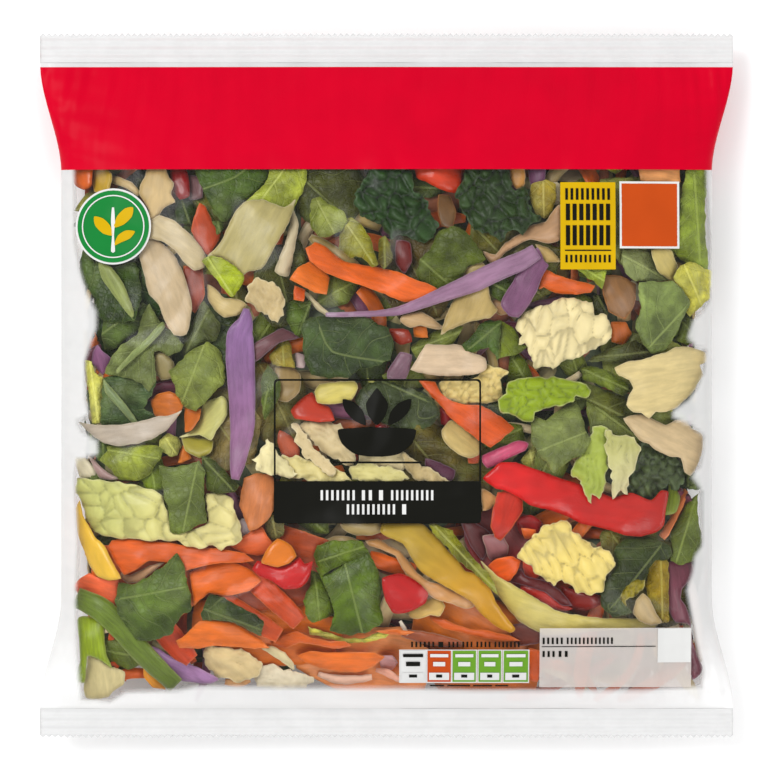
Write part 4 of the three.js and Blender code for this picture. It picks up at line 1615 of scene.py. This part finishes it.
def loose_shape(rng, kind, length, width):
    """The outline of a loose piece about its own middle, and its middle line."""
    if kind in ("leaf", "pale", "pepper"):
        count = rng.integers(4, 7)
        turn = (np.arange(count) + rng.uniform(-0.28, 0.28, count)) * 2 * math.pi / count
        reach = rng.uniform(0.7, 1.25, count)
        corners = np.stack([np.cos(turn) * length / 2 * reach, np.sin(turn) * width / 2 * reach], -1)
        outline = rounded(corners, step=1.8, curve=KINDS[kind]["curve"])
        return outline, np.array([[-length / 2, 0], [length / 2, 0.0]])
    t = np.linspace(-0.5, 0.5, 6)
    bend = rng.uniform(-0.22, 0.22) * length
    taper = width * np.clip(1.15 - (2 * np.abs(t)) ** 2 * rng.uniform(0.3, 0.9), 0.2, 1)
    rows = np.stack([t * length, bend * (4 * t * t - 0.5), taper], -1)
    return strip_outline(rows, 2.0)


def turned(points, angle, centre):
    """Points turned about the origin and moved to a new centre."""
    turn = np.array([[math.cos(angle), -math.sin(angle)], [math.sin(angle), math.cos(angle)]])
    return points @ turn.T + centre


def fill_gaps(heaps, ceiling):
    """Loose pieces wherever nothing lies near the film yet."""
    rng = np.random.default_rng(FILLER_SEED)
    start = film_top(GRID_X, GRID_Y)
    cells = np.stack([GRID_X.ravel(), GRID_Y.ravel()], -1)
    allowed = inside(cells, FILL_EDGE * FILLER_FIELD).reshape(GRID_X.shape)
    for i in range(FILLERS):
        openness = np.where(allowed, np.clip(OPEN_DEPTH - (start - ceiling.height), 0, None), 0)
        openness = blurred(openness, OPEN_PASSES) ** OPEN_POWER
        chance = openness.ravel() / openness.sum()
        x, y = cells[rng.choice(len(chance), p=chance)]
        kind, colour, length, width = pick_filler(rng, y)
        outline, spine = loose_shape(rng, kind, length, width)
        angle = rng.normal(0, 0.9) if y < FILLER_SPLIT else rng.uniform(0, math.pi)
        outline, spine = turned(outline, angle, (x, y)), turned(spine, angle, (x, y))
        reach = np.abs(outline[:, 0]).max() - (BODY_WIDTH / 2 - FILLER_SIDE)
        if reach > 0:
            outline[:, 0] -= math.copysign(reach, x)
            spine[:, 0] -= math.copysign(reach, x)
        tint = behind_film(np.array(colour) * rng.uniform(*FILLER_TONE))
        seed = FILLER_SEEDS[0] + FILLER_SEEDS[1] * i
        add_piece(heaps[kind], kind, [tint], outline, spine, seed, ceiling, FILLER_SINK, FILLER_COARSE)


# ---- pieces against the sides and the underside, laid on rings round the filling

RING_ROWS = 70
RING_POINTS = 260
# The points of a ring's upper and of its under side, before they are spaced evenly and smoothed.
RING_COLUMNS = 160
RING_PASSES = 4
# How far within the film the rings lie.
RING_INSET = 2.2
# The first ring's place towards the foot, and the last one's towards the head.
RING_REACH = 107.5
RING_HEAD = 101.5
# The rings stay clear of the folds, more so at the bag's left.
RING_SIDE = 6.0
RING_ASIDE = 1.6
# The rings take the film's height from a little further out.
RING_OUT = 1.012


def make_rings():
    """Points round the inside of the film at each of many places along the bag."""
    rings = []
    t = np.linspace(-1, 1, RING_COLUMNS)
    x = np.sin(t * math.pi / 2) * (BODY_WIDTH / 2 - RING_SIDE) + RING_ASIDE
    for y in np.linspace(-RING_REACH, RING_HEAD, RING_ROWS):
        line = np.full_like(x, y)
        top = np.stack([x, film_top(x * RING_OUT, line) - RING_INSET], -1)
        foot = np.stack([x, film_foot(x * RING_OUT, line) + RING_INSET], -1)
        loop = closed_line(np.vstack([top, foot[::-1]]))
        run = np.concatenate(([0], np.cumsum(np.hypot(*np.diff(loop, axis=0).T))))
        even = np.linspace(0, run[-1], RING_POINTS, endpoint=False)
        ring = np.stack([np.interp(even, run, loop[:, 0]), np.interp(even, run, loop[:, 1])], -1)
        for _ in range(RING_PASSES):
            ring = (np.roll(ring, 1, 0) + ring + np.roll(ring, -1, 0)) / 3
        rings.append(np.column_stack([ring[:, 0], np.full(RING_POINTS, y), ring[:, 1]]))
    return np.array(rings)


def ring_frame(rings):
    """The way outward from the filling at each point of the rings."""
    round_step = np.roll(rings, -1, 1) - np.roll(rings, 1, 1)
    along_step = np.gradient(rings, axis=0)
    outward = np.cross(along_step, round_step)
    outward /= np.linalg.norm(outward, axis=-1, keepdims=True)
    middle = rings.mean(1, keepdims=True)
    sign = np.sign(((rings - middle) * outward).sum(-1, keepdims=True).mean())
    return outward * sign


def on_ring(rings, girth, y):
    """The place on the rings at a girth (in ring points) and a distance along the bag."""
    last = RING_ROWS - 1
    row = np.clip((y + RING_REACH) / (RING_REACH + RING_HEAD) * last, 0, last - GRID_EDGE)
    i = row.astype(int)
    j = np.floor(girth).astype(int)
    s, t = (row - i)[:, None], (girth - j)[:, None]
    a = mix(rings[i, j % RING_POINTS], rings[i, (j + 1) % RING_POINTS], t)
    b = mix(rings[i + 1, j % RING_POINTS], rings[i + 1, (j + 1) % RING_POINTS], t)
    return mix(a, b, s)


WRAPPED = 430
WRAP_SEED = 303
WRAP_SEEDS = (9000, 17)
# How far round the side folds, onto the upper side, the wrapped pieces are laid, and how far from the ends.
WRAP_REACH = 13.0
WRAP_ENDS = 3.0
# How far beneath the ceiling and above the underside's film they stay, and how far from the rings' ends.
WRAP_CLEAR = 0.3
WRAP_LIFT = 0.25
WRAP_STOP = 0.5
# The depth of the innermost layer, and how soon the layers go inwards.
WRAP_DEPTH = 1.9
WRAP_POWER = 0.8
# How much coarser the wrapped pieces are, the share of their relief that they keep, and their thickness.
WRAP_COARSE = 1.9
WRAP_RELIEF = 0.7
WRAP_THICK = 1.6
WRAP_TONE = (0.85, 1.1)


def wrap_pieces(heaps, ceiling):
    """Loose pieces round the sides and the underside, in layers that go inwards."""
    rng = np.random.default_rng(WRAP_SEED)
    rings = make_rings()
    outward = ring_frame(rings)
    middle_ring = RING_ROWS // 2
    pitch = np.linalg.norm(rings[middle_ring, 1] - rings[middle_ring, 0])
    top_end = np.argmax(rings[middle_ring, :, 0])
    for i in range(WRAPPED):
        layer = WRAP_DEPTH * (i / WRAPPED) ** WRAP_POWER
        girth = rng.uniform(top_end - WRAP_REACH / pitch, RING_POINTS + WRAP_REACH / pitch)
        y = rng.uniform(-RING_REACH + WRAP_ENDS, RING_HEAD - WRAP_ENDS)
        kind, colour, length, width = pick_filler(rng, y)
        outline, spine = loose_shape(rng, kind, length, width)
        angle = rng.uniform(0, math.pi)
        outline, spine = turned(outline, angle, (0, 0)), turned(spine, angle, (0, 0))
        shape = KINDS[kind]
        at = form_of(kind, outline, spine, WRAP_SEEDS[0] + WRAP_SEEDS[1] * i)
        places, faces = filled(outline, shape["mesh"] * WRAP_COARSE)
        along, across, edge, branch, relief, crown = at(places)
        fall = rim_drop(edge, shape["rim"])
        ring_at = girth + places[:, 0] / pitch
        y_at = np.clip(y + places[:, 1], -RING_REACH + WRAP_STOP, RING_HEAD - WRAP_STOP)
        base = on_ring(rings, ring_at, y_at)
        out = on_ring(outward, ring_at, y_at)
        lift = (relief - relief.max()) * WRAP_RELIEF - layer
        thick = min(shape["thick"], WRAP_THICK)
        top = base + out * (lift - fall)[:, None]
        foot = base + out * (lift - thick + fall)[:, None]
        for side, clear in ((top, WRAP_CLEAR), (foot, WRAP_CLEAR + WRAP_RELIEF * thick)):
            side[:, 2] = np.minimum(side[:, 2], sample(ceiling.height, side[:, 0], side[:, 1]) - clear)
            side[:, 2] = np.maximum(side[:, 2], film_foot(side[:, 0], side[:, 1]) + WRAP_LIFT)
        tint = behind_film(np.array(colour) * rng.uniform(*WRAP_TONE))
        place = np.column_stack([along, across, edge])
        trait = np.column_stack([np.full(len(places), rng.random()), branch, crown])
        a, b, c = faces[0][:3]
        if np.cross(top[b] - top[a], top[c] - top[a]) @ out[a] < 0:
            faces = [face[::-1] for face in faces]
        heaps[kind].add(top, foot, faces, tint, place, trait)
    return rings, outward


MIDDLE_ROWS = 60
MIDDLE_COLUMNS = 130
# How far the packed middle lies within the rings and their ends, beneath the pieces and above the film.
MIDDLE_INSET = 4.2
MIDDLE_ENDS = (7.0, 8.0)
MIDDLE_CLEAR = 0.6
MIDDLE_LIFT = 1.5


def packed_middle(rings, outward, lid, paint):
    """What lies deeper in the bag, closed, in the shade beneath the pieces and the lid that they leave."""
    girth = np.linspace(0, RING_POINTS, MIDDLE_COLUMNS, endpoint=False)
    points = []
    for y in np.linspace(-RING_REACH + MIDDLE_ENDS[0], RING_HEAD - MIDDLE_ENDS[1], MIDDLE_ROWS):
        at_y = np.full(MIDDLE_COLUMNS, y)
        base = on_ring(rings, girth, at_y) - on_ring(outward, girth, at_y) * MIDDLE_INSET
        base[:, 2] = np.minimum(base[:, 2], sample(lid, base[:, 0], base[:, 1]) - MIDDLE_CLEAR)
        base[:, 2] = np.maximum(base[:, 2], film_foot(base[:, 0], base[:, 1]) + MIDDLE_LIFT)
        points.append(base)
    faces = []
    for row in range(MIDDLE_ROWS - 1):
        start = row * MIDDLE_COLUMNS
        for column in range(MIDDLE_COLUMNS):
            a, b = start + column, start + (column + 1) % MIDDLE_COLUMNS
            faces.append((a, a + MIDDLE_COLUMNS, b + MIDDLE_COLUMNS, b))
    flat = np.concatenate(points)
    for row, flip in ((0, False), (MIDDLE_ROWS - 1, True)):
        ring = [row * MIDDLE_COLUMNS + c for c in range(MIDDLE_COLUMNS)]
        flat = np.vstack([flat, flat[ring].mean(0)])
        centre = len(flat) - 1
        for a, b in zip(ring, ring[1:] + ring[:1]):
            faces.append((centre, b, a) if flip else (centre, a, b))
    make_mesh("packed_middle", flat, faces, paint)


# ---------------------------------------------------------------- the print

# How far each level of the print lies over the one beneath it.
PRINT_LIFT = 0.20
# The spacing of the points within a shape, and on the rim of a smooth one.
PRINT_MESH = 1.2
PATH_STEP = 1.0
# The share of its place that a stroke of small print takes.
STROKE_SHARE = 0.45
CIRCLE_POINTS = 48
CORNER_POINTS = 5


def circle(cx, cy, radius):
    """A circle in pixels, in millimetres."""
    turn = np.arange(CIRCLE_POINTS) * 2 * math.pi / CIRCLE_POINTS
    x, y = spot(cx, cy)
    return np.stack([x + radius * MM_PER_PX * np.cos(turn), y + radius * MM_PER_PX * np.sin(turn)], -1)


def panel(x0, y0, x1, y1, corner=0.0):
    """A rectangle in pixels, with rounded corners where a radius is given, in millimetres."""
    corners = [(x0, y0), (x1, y0), (x1, y1), (x0, y1)]
    if corner:
        middles = ((x1 - corner, y0 + corner), (x1 - corner, y1 - corner),
                   (x0 + corner, y1 - corner), (x0 + corner, y0 + corner))
        quarter = np.arange(CORNER_POINTS) * math.pi / 2 / (CORNER_POINTS - 1)
        corners = []
        for i, (cx, cy) in enumerate(middles):
            turn = (i - 1) * math.pi / 2 + quarter
            corners += [(cx + corner * math.cos(t), cy + corner * math.sin(t)) for t in turn]
    line = np.array([spot(*place) for place in corners])
    dense = []
    for a, b in zip(line, np.roll(line, -1, 0)):
        parts = max(1, math.ceil(np.hypot(*(b - a)) / PRINT_MESH))
        dense.append(a + (b - a) * np.arange(parts)[:, None] / parts)
    return np.concatenate(dense)[::-1]


def path(text):
    """A smooth closed shape through places in pixels, in millimetres."""
    return rounded(spots(text), step=PATH_STEP)


class Print:
    """The shapes of one ink, laid on the film."""

    def __init__(self):
        self.points, self.faces, self.count = [], [], 0

    def lay(self, outline, level=1, hole=None):
        """Lay a shape on the film, at a level over it, with a hole where one is given."""
        if hole is None:
            places, faces = filled(outline, PRINT_MESH)
        else:
            n = len(outline)
            edges = [(i, (i + 1) % n) for i in range(n)]
            edges += [(n + i, n + (i + 1) % len(hole)) for i in range(len(hole))]
            places, faces = triangles(np.vstack([outline, hole]), edges, [], 0)
            middles = np.array([places[list(face)].mean(0) for face in faces])
            keep = inside(middles, outline) & ~inside(middles, hole)
            faces = [face for face, kept in zip(faces, keep) if kept]
        z = film_top(places[:, 0], places[:, 1]) + PRINT_LIFT * level
        self.points.append(np.column_stack([places, z]))
        for face in faces:
            a, b, c = (places[k] for k in face[:3])
            up = (b[0] - a[0]) * (c[1] - a[1]) - (b[1] - a[1]) * (c[0] - a[0]) > 0
            self.faces.append(tuple(k + self.count for k in (face if up else face[::-1])))
        self.count += len(places)

    def make(self, name, slot, paint):
        """The mesh of all the shapes that were laid."""
        make_mesh(name, np.concatenate(self.points), self.faces, paint)


def bars(ink_print, y0, y1, spans, level):
    """A row of short bars."""
    for x0, x1 in spans:
        ink_print.lay(panel(x0, y0, x1, y1), level)


def even_spans(x0, x1, count, share):
    """Evenly spaced bars between two edges, each taking a share of its place."""
    pitch = (x1 - x0) / (count - 1 + share)
    return [(x0 + i * pitch, x0 + (i + share) * pitch) for i in range(count)]


def strokes(ink_print, y0, y1, spans, level, spacing=4.8):
    """Groups of thin upright strokes, one group for each span."""
    for x0, x1 in spans:
        count = max(1, round((x1 - x0) / spacing))
        bars(ink_print, y0, y1, even_spans(x0, x1, count, STROKE_SHARE), level)


# The round badge's middle, and the radii of its edge, its field and its ring (pixels).
BADGE = (114, 227)
BADGE_EDGE = 38
BADGE_FIELD = 36
BADGE_RING = (31.5, 30.3)


def round_badge(white, green, yellow):
    """The small round badge: a sprig on green inside a white ring."""
    white.lay(circle(*BADGE, BADGE_EDGE), 1)
    green.lay(circle(*BADGE, BADGE_FIELD), 2)
    white.lay(circle(*BADGE, BADGE_RING[0]), 3, circle(*BADGE, BADGE_RING[1]))
    white.lay(path("112,252 113,236 112,222 113,208 115,208 116,222 115,236 116,252"), 3)
    yellow.lay(path("114,236 104,234 96,226 95,217 104,219 111,226"), 3)
    yellow.lay(path("115,228 118,217 126,209 134,208 133,217 125,225"), 3)
    yellow.lay(path("115,246 122,243 131,239 136,232 127,231 119,236"), 3)


def side_labels(white, black, yellow, orange):
    """The yellow label and the orange square at the right."""
    yellow.lay(panel(559.5, 183, 614.5, 270), 1)
    bars(black, 189, 200.5, even_spans(564.5, 609, 9, 0.5), 2)
    bars(black, 204.5, 221, even_spans(565, 609, 7, 0.62), 2)
    bars(black, 226, 246, even_spans(565, 609, 7, 0.62), 2)
    black.lay(panel(564, 250.4, 610, 251.6), 2)
    bars(black, 255.5, 263, even_spans(564.5, 609.5, 10, 0.45), 2)
    white.lay(panel(618.6, 182, 678.6, 249), 1, panel(620.8, 184.2, 676.4, 246.8))
    orange.lay(panel(620.6, 184, 676.6, 247), 1)


def middle_frame(white, black):
    """The framed field in the middle with its dark strip."""
    black.lay(panel(274.5, 379, 480.5, 522.5, 4), 1, panel(276.4, 380.9, 478.6, 520.6, 3))
    black.lay(panel(275.5, 480.5, 479.5, 521.6), 1)
    # A bowl with three leaves.
    bowl = "338,430 348,428 377,427 406,428 416,430 412,443 400,453 386,456 368,456 354,453 342,443"
    black.lay(path(bowl), 1)
    black.lay(path("377,425 369,416 366,404 372,394 377,388 382,394 388,404 385,416"), 1)
    black.lay(path("366,425 354,420 345,410 343,399 354,402 363,411"), 1)
    black.lay(path("388,425 391,411 400,402 411,399 409,410 400,420"), 1)
    black.lay(panel(333, 461, 421, 463), 1)
    strokes(white, 489.5, 499.5, ((321, 355), (362, 372), (379, 383), (391, 433)), 2)
    strokes(white, 503.5, 513.5, ((347, 395), (402, 406)), 2)


def table_strip(white, black, orange, lime):
    """The row of small boxes near the foot, each with three bars."""
    cells = ((400, 426, white), (427, 451, orange), (452, 476, lime), (478, 501, lime), (503, 528, lime))
    for x0, x1, fill in cells:
        white.lay(panel(x0 - 0.8, 648.5, x1 + 0.8, 682.5), 1)
        fill.lay(panel(x0 + 0.4, 649.6, x1 - 0.4, 681.4), 2)
        white.lay(panel(x0 + 2, 672, x1 - 2, 679.5), 3)
        over = black if fill is white else white
        bars(over, 653, 656.2, ((x0 + 3, x1 - 3),), 4)
        bars(over, 661, 665.4, ((x0 + 6, x1 - 6),), 4)
        bars(black, 674, 677, ((x0 + 9, x1 - 9),), 4)
    line_over = ((411, 434), (438, 443), (448, 458), (462, 472), (476, 490), (494, 519))
    strokes(black, 640.5, 646, line_over, 1, 3.6)
    bars(black, 684.6, 686, ((430, 444), (447, 470), (473, 492), (495, 508)), 1)


def write_panel(white, black, frost):
    """The frosted field at the lower right with its clear white square."""
    frost.lay(panel(539, 627, 691, 687), 1)
    strokes(black, 636.5, 643, ((542, 562), (566, 612)), 2, 4.0)
    black.lay(panel(541, 645.2, 655, 646.0), 2)
    strokes(black, 650, 656, ((542, 554), (558, 567)), 2, 4.4)
    white.lay(panel(657, 627.6, 690.4, 662), 2)


# How much of what is behind it the frosted ink lets show.
FROST_CLEAR = 0.31


def make_print():
    """Everything that is printed on the clear film."""
    white, green, lime, yellow, orange, frost, dark = (Print() for _ in range(7))
    round_badge(white, green, yellow)
    side_labels(white, dark, yellow, orange)
    middle_frame(white, dark)
    table_strip(white, dark, orange, lime)
    write_panel(white, dark, frost)
    white.make("print_white", "print_white", print_paint("white_ink", (238, 238, 236)))
    dark.make("print_black", "print_black", print_paint("black_ink", (26, 26, 22)))
    green.make("print_green", "print_green", print_paint("green_ink", (30, 135, 60)))
    lime.make("print_lime", "print_green", print_paint("lime_ink", (115, 170, 50)))
    yellow.make("print_yellow", "print_yellow", print_paint("yellow_ink", (222, 180, 16)))
    orange.make("print_orange", "print_orange", print_paint("orange_ink", (208, 82, 28)))
    frost.make("print_frost", "print_frost", print_paint("frost_ink", (240, 232, 226), FROST_CLEAR))


# ---------------------------------------------------------------- the whole bag

# The red band's edges in the photograph.
HEADER_TOP_PX = 66.5
HEADER_FOOT_PX = 170.0
FILM_MESH = (1.3, 2.4)
# The fin seal: its width, its gap to the seals, its points along and across, and how far it stands down.
FIN_WIDTH = 15.0
FIN_END = 1.0
FIN_ROWS = 120
FIN_COLUMNS = 21
FIN_DROP = 0.22
FIN_RIB = (0.06, 1.5)


def fin_seal(paint):
    """The lengthwise seal on the underside, folded flat against the film."""
    along = np.linspace(-SEAL_START + FIN_END, SEAL_START - FIN_END, FIN_ROWS)
    across = np.linspace(-FIN_WIDTH / 2, FIN_WIDTH / 2, FIN_COLUMNS)
    y, x = np.meshgrid(along, across, indexing="ij")
    z = film_foot(x, y) - FIN_DROP + FIN_RIB[0] * np.cos(x * 2 * math.pi / FIN_RIB[1])
    points = np.stack([x, y, z], -1).reshape(-1, 3)
    make_mesh("fin_seal", points, grid_faces(FIN_ROWS, FIN_COLUMNS, 0, True), paint)


def make_film():
    """The film tube with its red band, and its three seals."""
    red = print_paint("red_ink", (220, 0, 40))
    clear = film_paint("clear_film", FILM_HAZE, FILM_SPREAD, FILM_WHITE, MOST_HAZE)
    milky = film_paint("seal_film", SEAL_HAZE, SEAL_SPREAD, SEAL_WHITE)
    steps = FILM_MESH
    band_foot = spot(0, HEADER_FOOT_PX)[1]
    band_top = spot(0, HEADER_TOP_PX)[1]
    film_sleeve("film_body", -SEAL_START, band_foot, *steps, "clear_film", clear)
    film_sleeve("film_header", band_foot, band_top, *steps, "print_red", red)
    film_sleeve("film_neck", band_top, SEAL_START, *steps, "seal_film", milky)
    end_seal("seal_head", 1, milky)
    end_seal("seal_foot", -1, milky)
    fin_seal(milky)


def middle_paint():
    """Patches in the colours of the filling, darkened as painted shade, for what lies deeper."""
    paint = Paint("packed_middle")
    tone = paint.node("ShaderNodeSeparateColor")
    paint.link(paint.cells(110.0, "F1")["Color"], tone.inputs[0])
    # Painted shade: the filling's greens, oranges and creams, all made dark.
    colour = paint.blend(paint.fade(tone.outputs[0], 0.55, 0.6), ink(62, 74, 42), ink(150, 80, 42))
    colour = paint.blend(paint.fade(tone.outputs[1], 0.7, 0.75), colour, ink(150, 140, 92))
    return paint.finish(varied(paint, colour, 0.7, 1.3, 300.0), 0.6)


def make_filling():
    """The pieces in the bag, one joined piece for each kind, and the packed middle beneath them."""
    heaps = {kind: Heap() for kind in KINDS}
    ceiling = Ceiling()
    place_heroes(heaps, ceiling)
    fill_gaps(heaps, ceiling)
    rings, outward = wrap_pieces(heaps, ceiling)
    paints = {
        "leaf": leaf_paint("leaf", ink(180, 190, 120), ink(124, 138, 76)),
        "pale": leaf_paint("pale_leaf", ink(225, 225, 160), ink(200, 204, 130)),
        "kale": savoy_paint("kale", 0.42, 1.5, ink(92, 114, 82)),
        "savoy": savoy_paint("savoy", 0.66, 1.1, ink(236, 232, 180)),
        "chunk": savoy_paint("crinkled_chunk", 0.64, 1.1, ink(240, 230, 190)),
        "heart": savoy_paint("heart", 0.58, 1.06, ink(246, 238, 200)),
        "onion": fibre_paint("pale_flesh", ink(240, 230, 200), 0.5, 0.25, 0.11, 0.38, 0.0, 0.5),
        "carrot": fibre_paint("carrot", ink(240, 150, 85), 0.5, 0.3, 0.16, 0.42, 0.0, 0.5),
        "cabbage": fibre_paint("red_cabbage", ink(205, 185, 200), 0.5, 0.22, 0.16, 0.36, 0.0, 0.7),
        "pepper": fibre_paint("red_pepper", ink(235, 90, 70), 0.35, 0.25, 0.12, 0.27, 0.08, 0.35),
        "yellow": fibre_paint("yellow_pepper", ink(240, 200, 120), 0.35, 0.3, 0.09, 0.27, 0.08, 0.35),
        "stalk": fibre_paint("stalk", ink(190, 200, 130), 0.8, 0.3, 0.2, 0.35, 0.0, 1.1),
    }
    for kind, heap in heaps.items():
        heap.make(*NAMES[kind], paints[kind])
    packed_middle(rings, outward, lowest_near(ceiling.height), middle_paint())


# ---------------------------------------------------------------- stage, light and camera

# In metres: the camera's height, the height at which the photograph's scale holds, how far the camera sees
# and how far the floor reaches.
CAMERA_DISTANCE = 4.0
FRAME_HEIGHT = 0.020
CLIP_END = 20
FLOOR_REACH = 3.0
SENSOR = 36.0
FLOOR_GREY = 0.97
WORLD_LIGHT = 0.72
# Each light's name, its place and size in metres, and its power.
LIGHTS = (("key", (-0.9, 0.7, 1.4), 0.9, 19), ("fill", (0.9, -0.9, 1.3), 1.1, 13))


def make_stage():
    """A plain pale floor."""
    mesh = bpy.data.meshes.new("floor")
    corners = [(x * FLOOR_REACH, y * FLOOR_REACH, 0) for x, y in ((-1, -1), (1, -1), (1, 1), (-1, 1))]
    mesh.from_pydata(corners, [], [(0, 1, 2, 3)])
    floor = bpy.data.objects.new("floor", mesh)
    bpy.context.collection.objects.link(floor)
    paint = Paint("floor")
    mesh.materials.append(paint.finish((FLOOR_GREY, FLOOR_GREY, FLOOR_GREY), 0.8, sheen=0.1))


def make_lights():
    """An even pale surround and two large soft lights, aimed at the bag."""
    world = bpy.data.worlds.new("studio")
    world.use_nodes = True
    world.node_tree.nodes["Background"].inputs["Color"].default_value = (1, 1, 1, 1)
    world.node_tree.nodes["Background"].inputs["Strength"].default_value = WORLD_LIGHT
    bpy.context.scene.world = world
    for name, place, size, power in LIGHTS:
        lamp = bpy.data.lights.new(name, "AREA")
        lamp.energy = power
        lamp.size = size
        thing = bpy.data.objects.new(name, lamp)
        thing.location = place
        thing.rotation_euler = (-Vector(place)).to_track_quat("-Z", "Y").to_euler()
        bpy.context.collection.objects.link(thing)


def make_camera():
    """The photograph's view: straight down, over its middle."""
    camera = bpy.data.cameras.new("camera")
    camera.sensor_width = SENSOR
    camera.lens = SENSOR * (CAMERA_DISTANCE - FRAME_HEIGHT) / (PHOTO_PX * MM_PER_PX / 1000)
    camera.clip_end = CLIP_END
    x, y = spot(PHOTO_PX / 2, PHOTO_PX / 2)
    thing = bpy.data.objects.new("camera", camera)
    thing.location = (x / 1000, y / 1000, CAMERA_DISTANCE)
    bpy.context.collection.objects.link(thing)
    bpy.context.scene.camera = thing
    bpy.context.scene.view_settings.view_transform = "Standard"


make_stage()
make_print()
make_film()
make_filling()
make_lights()
make_camera()
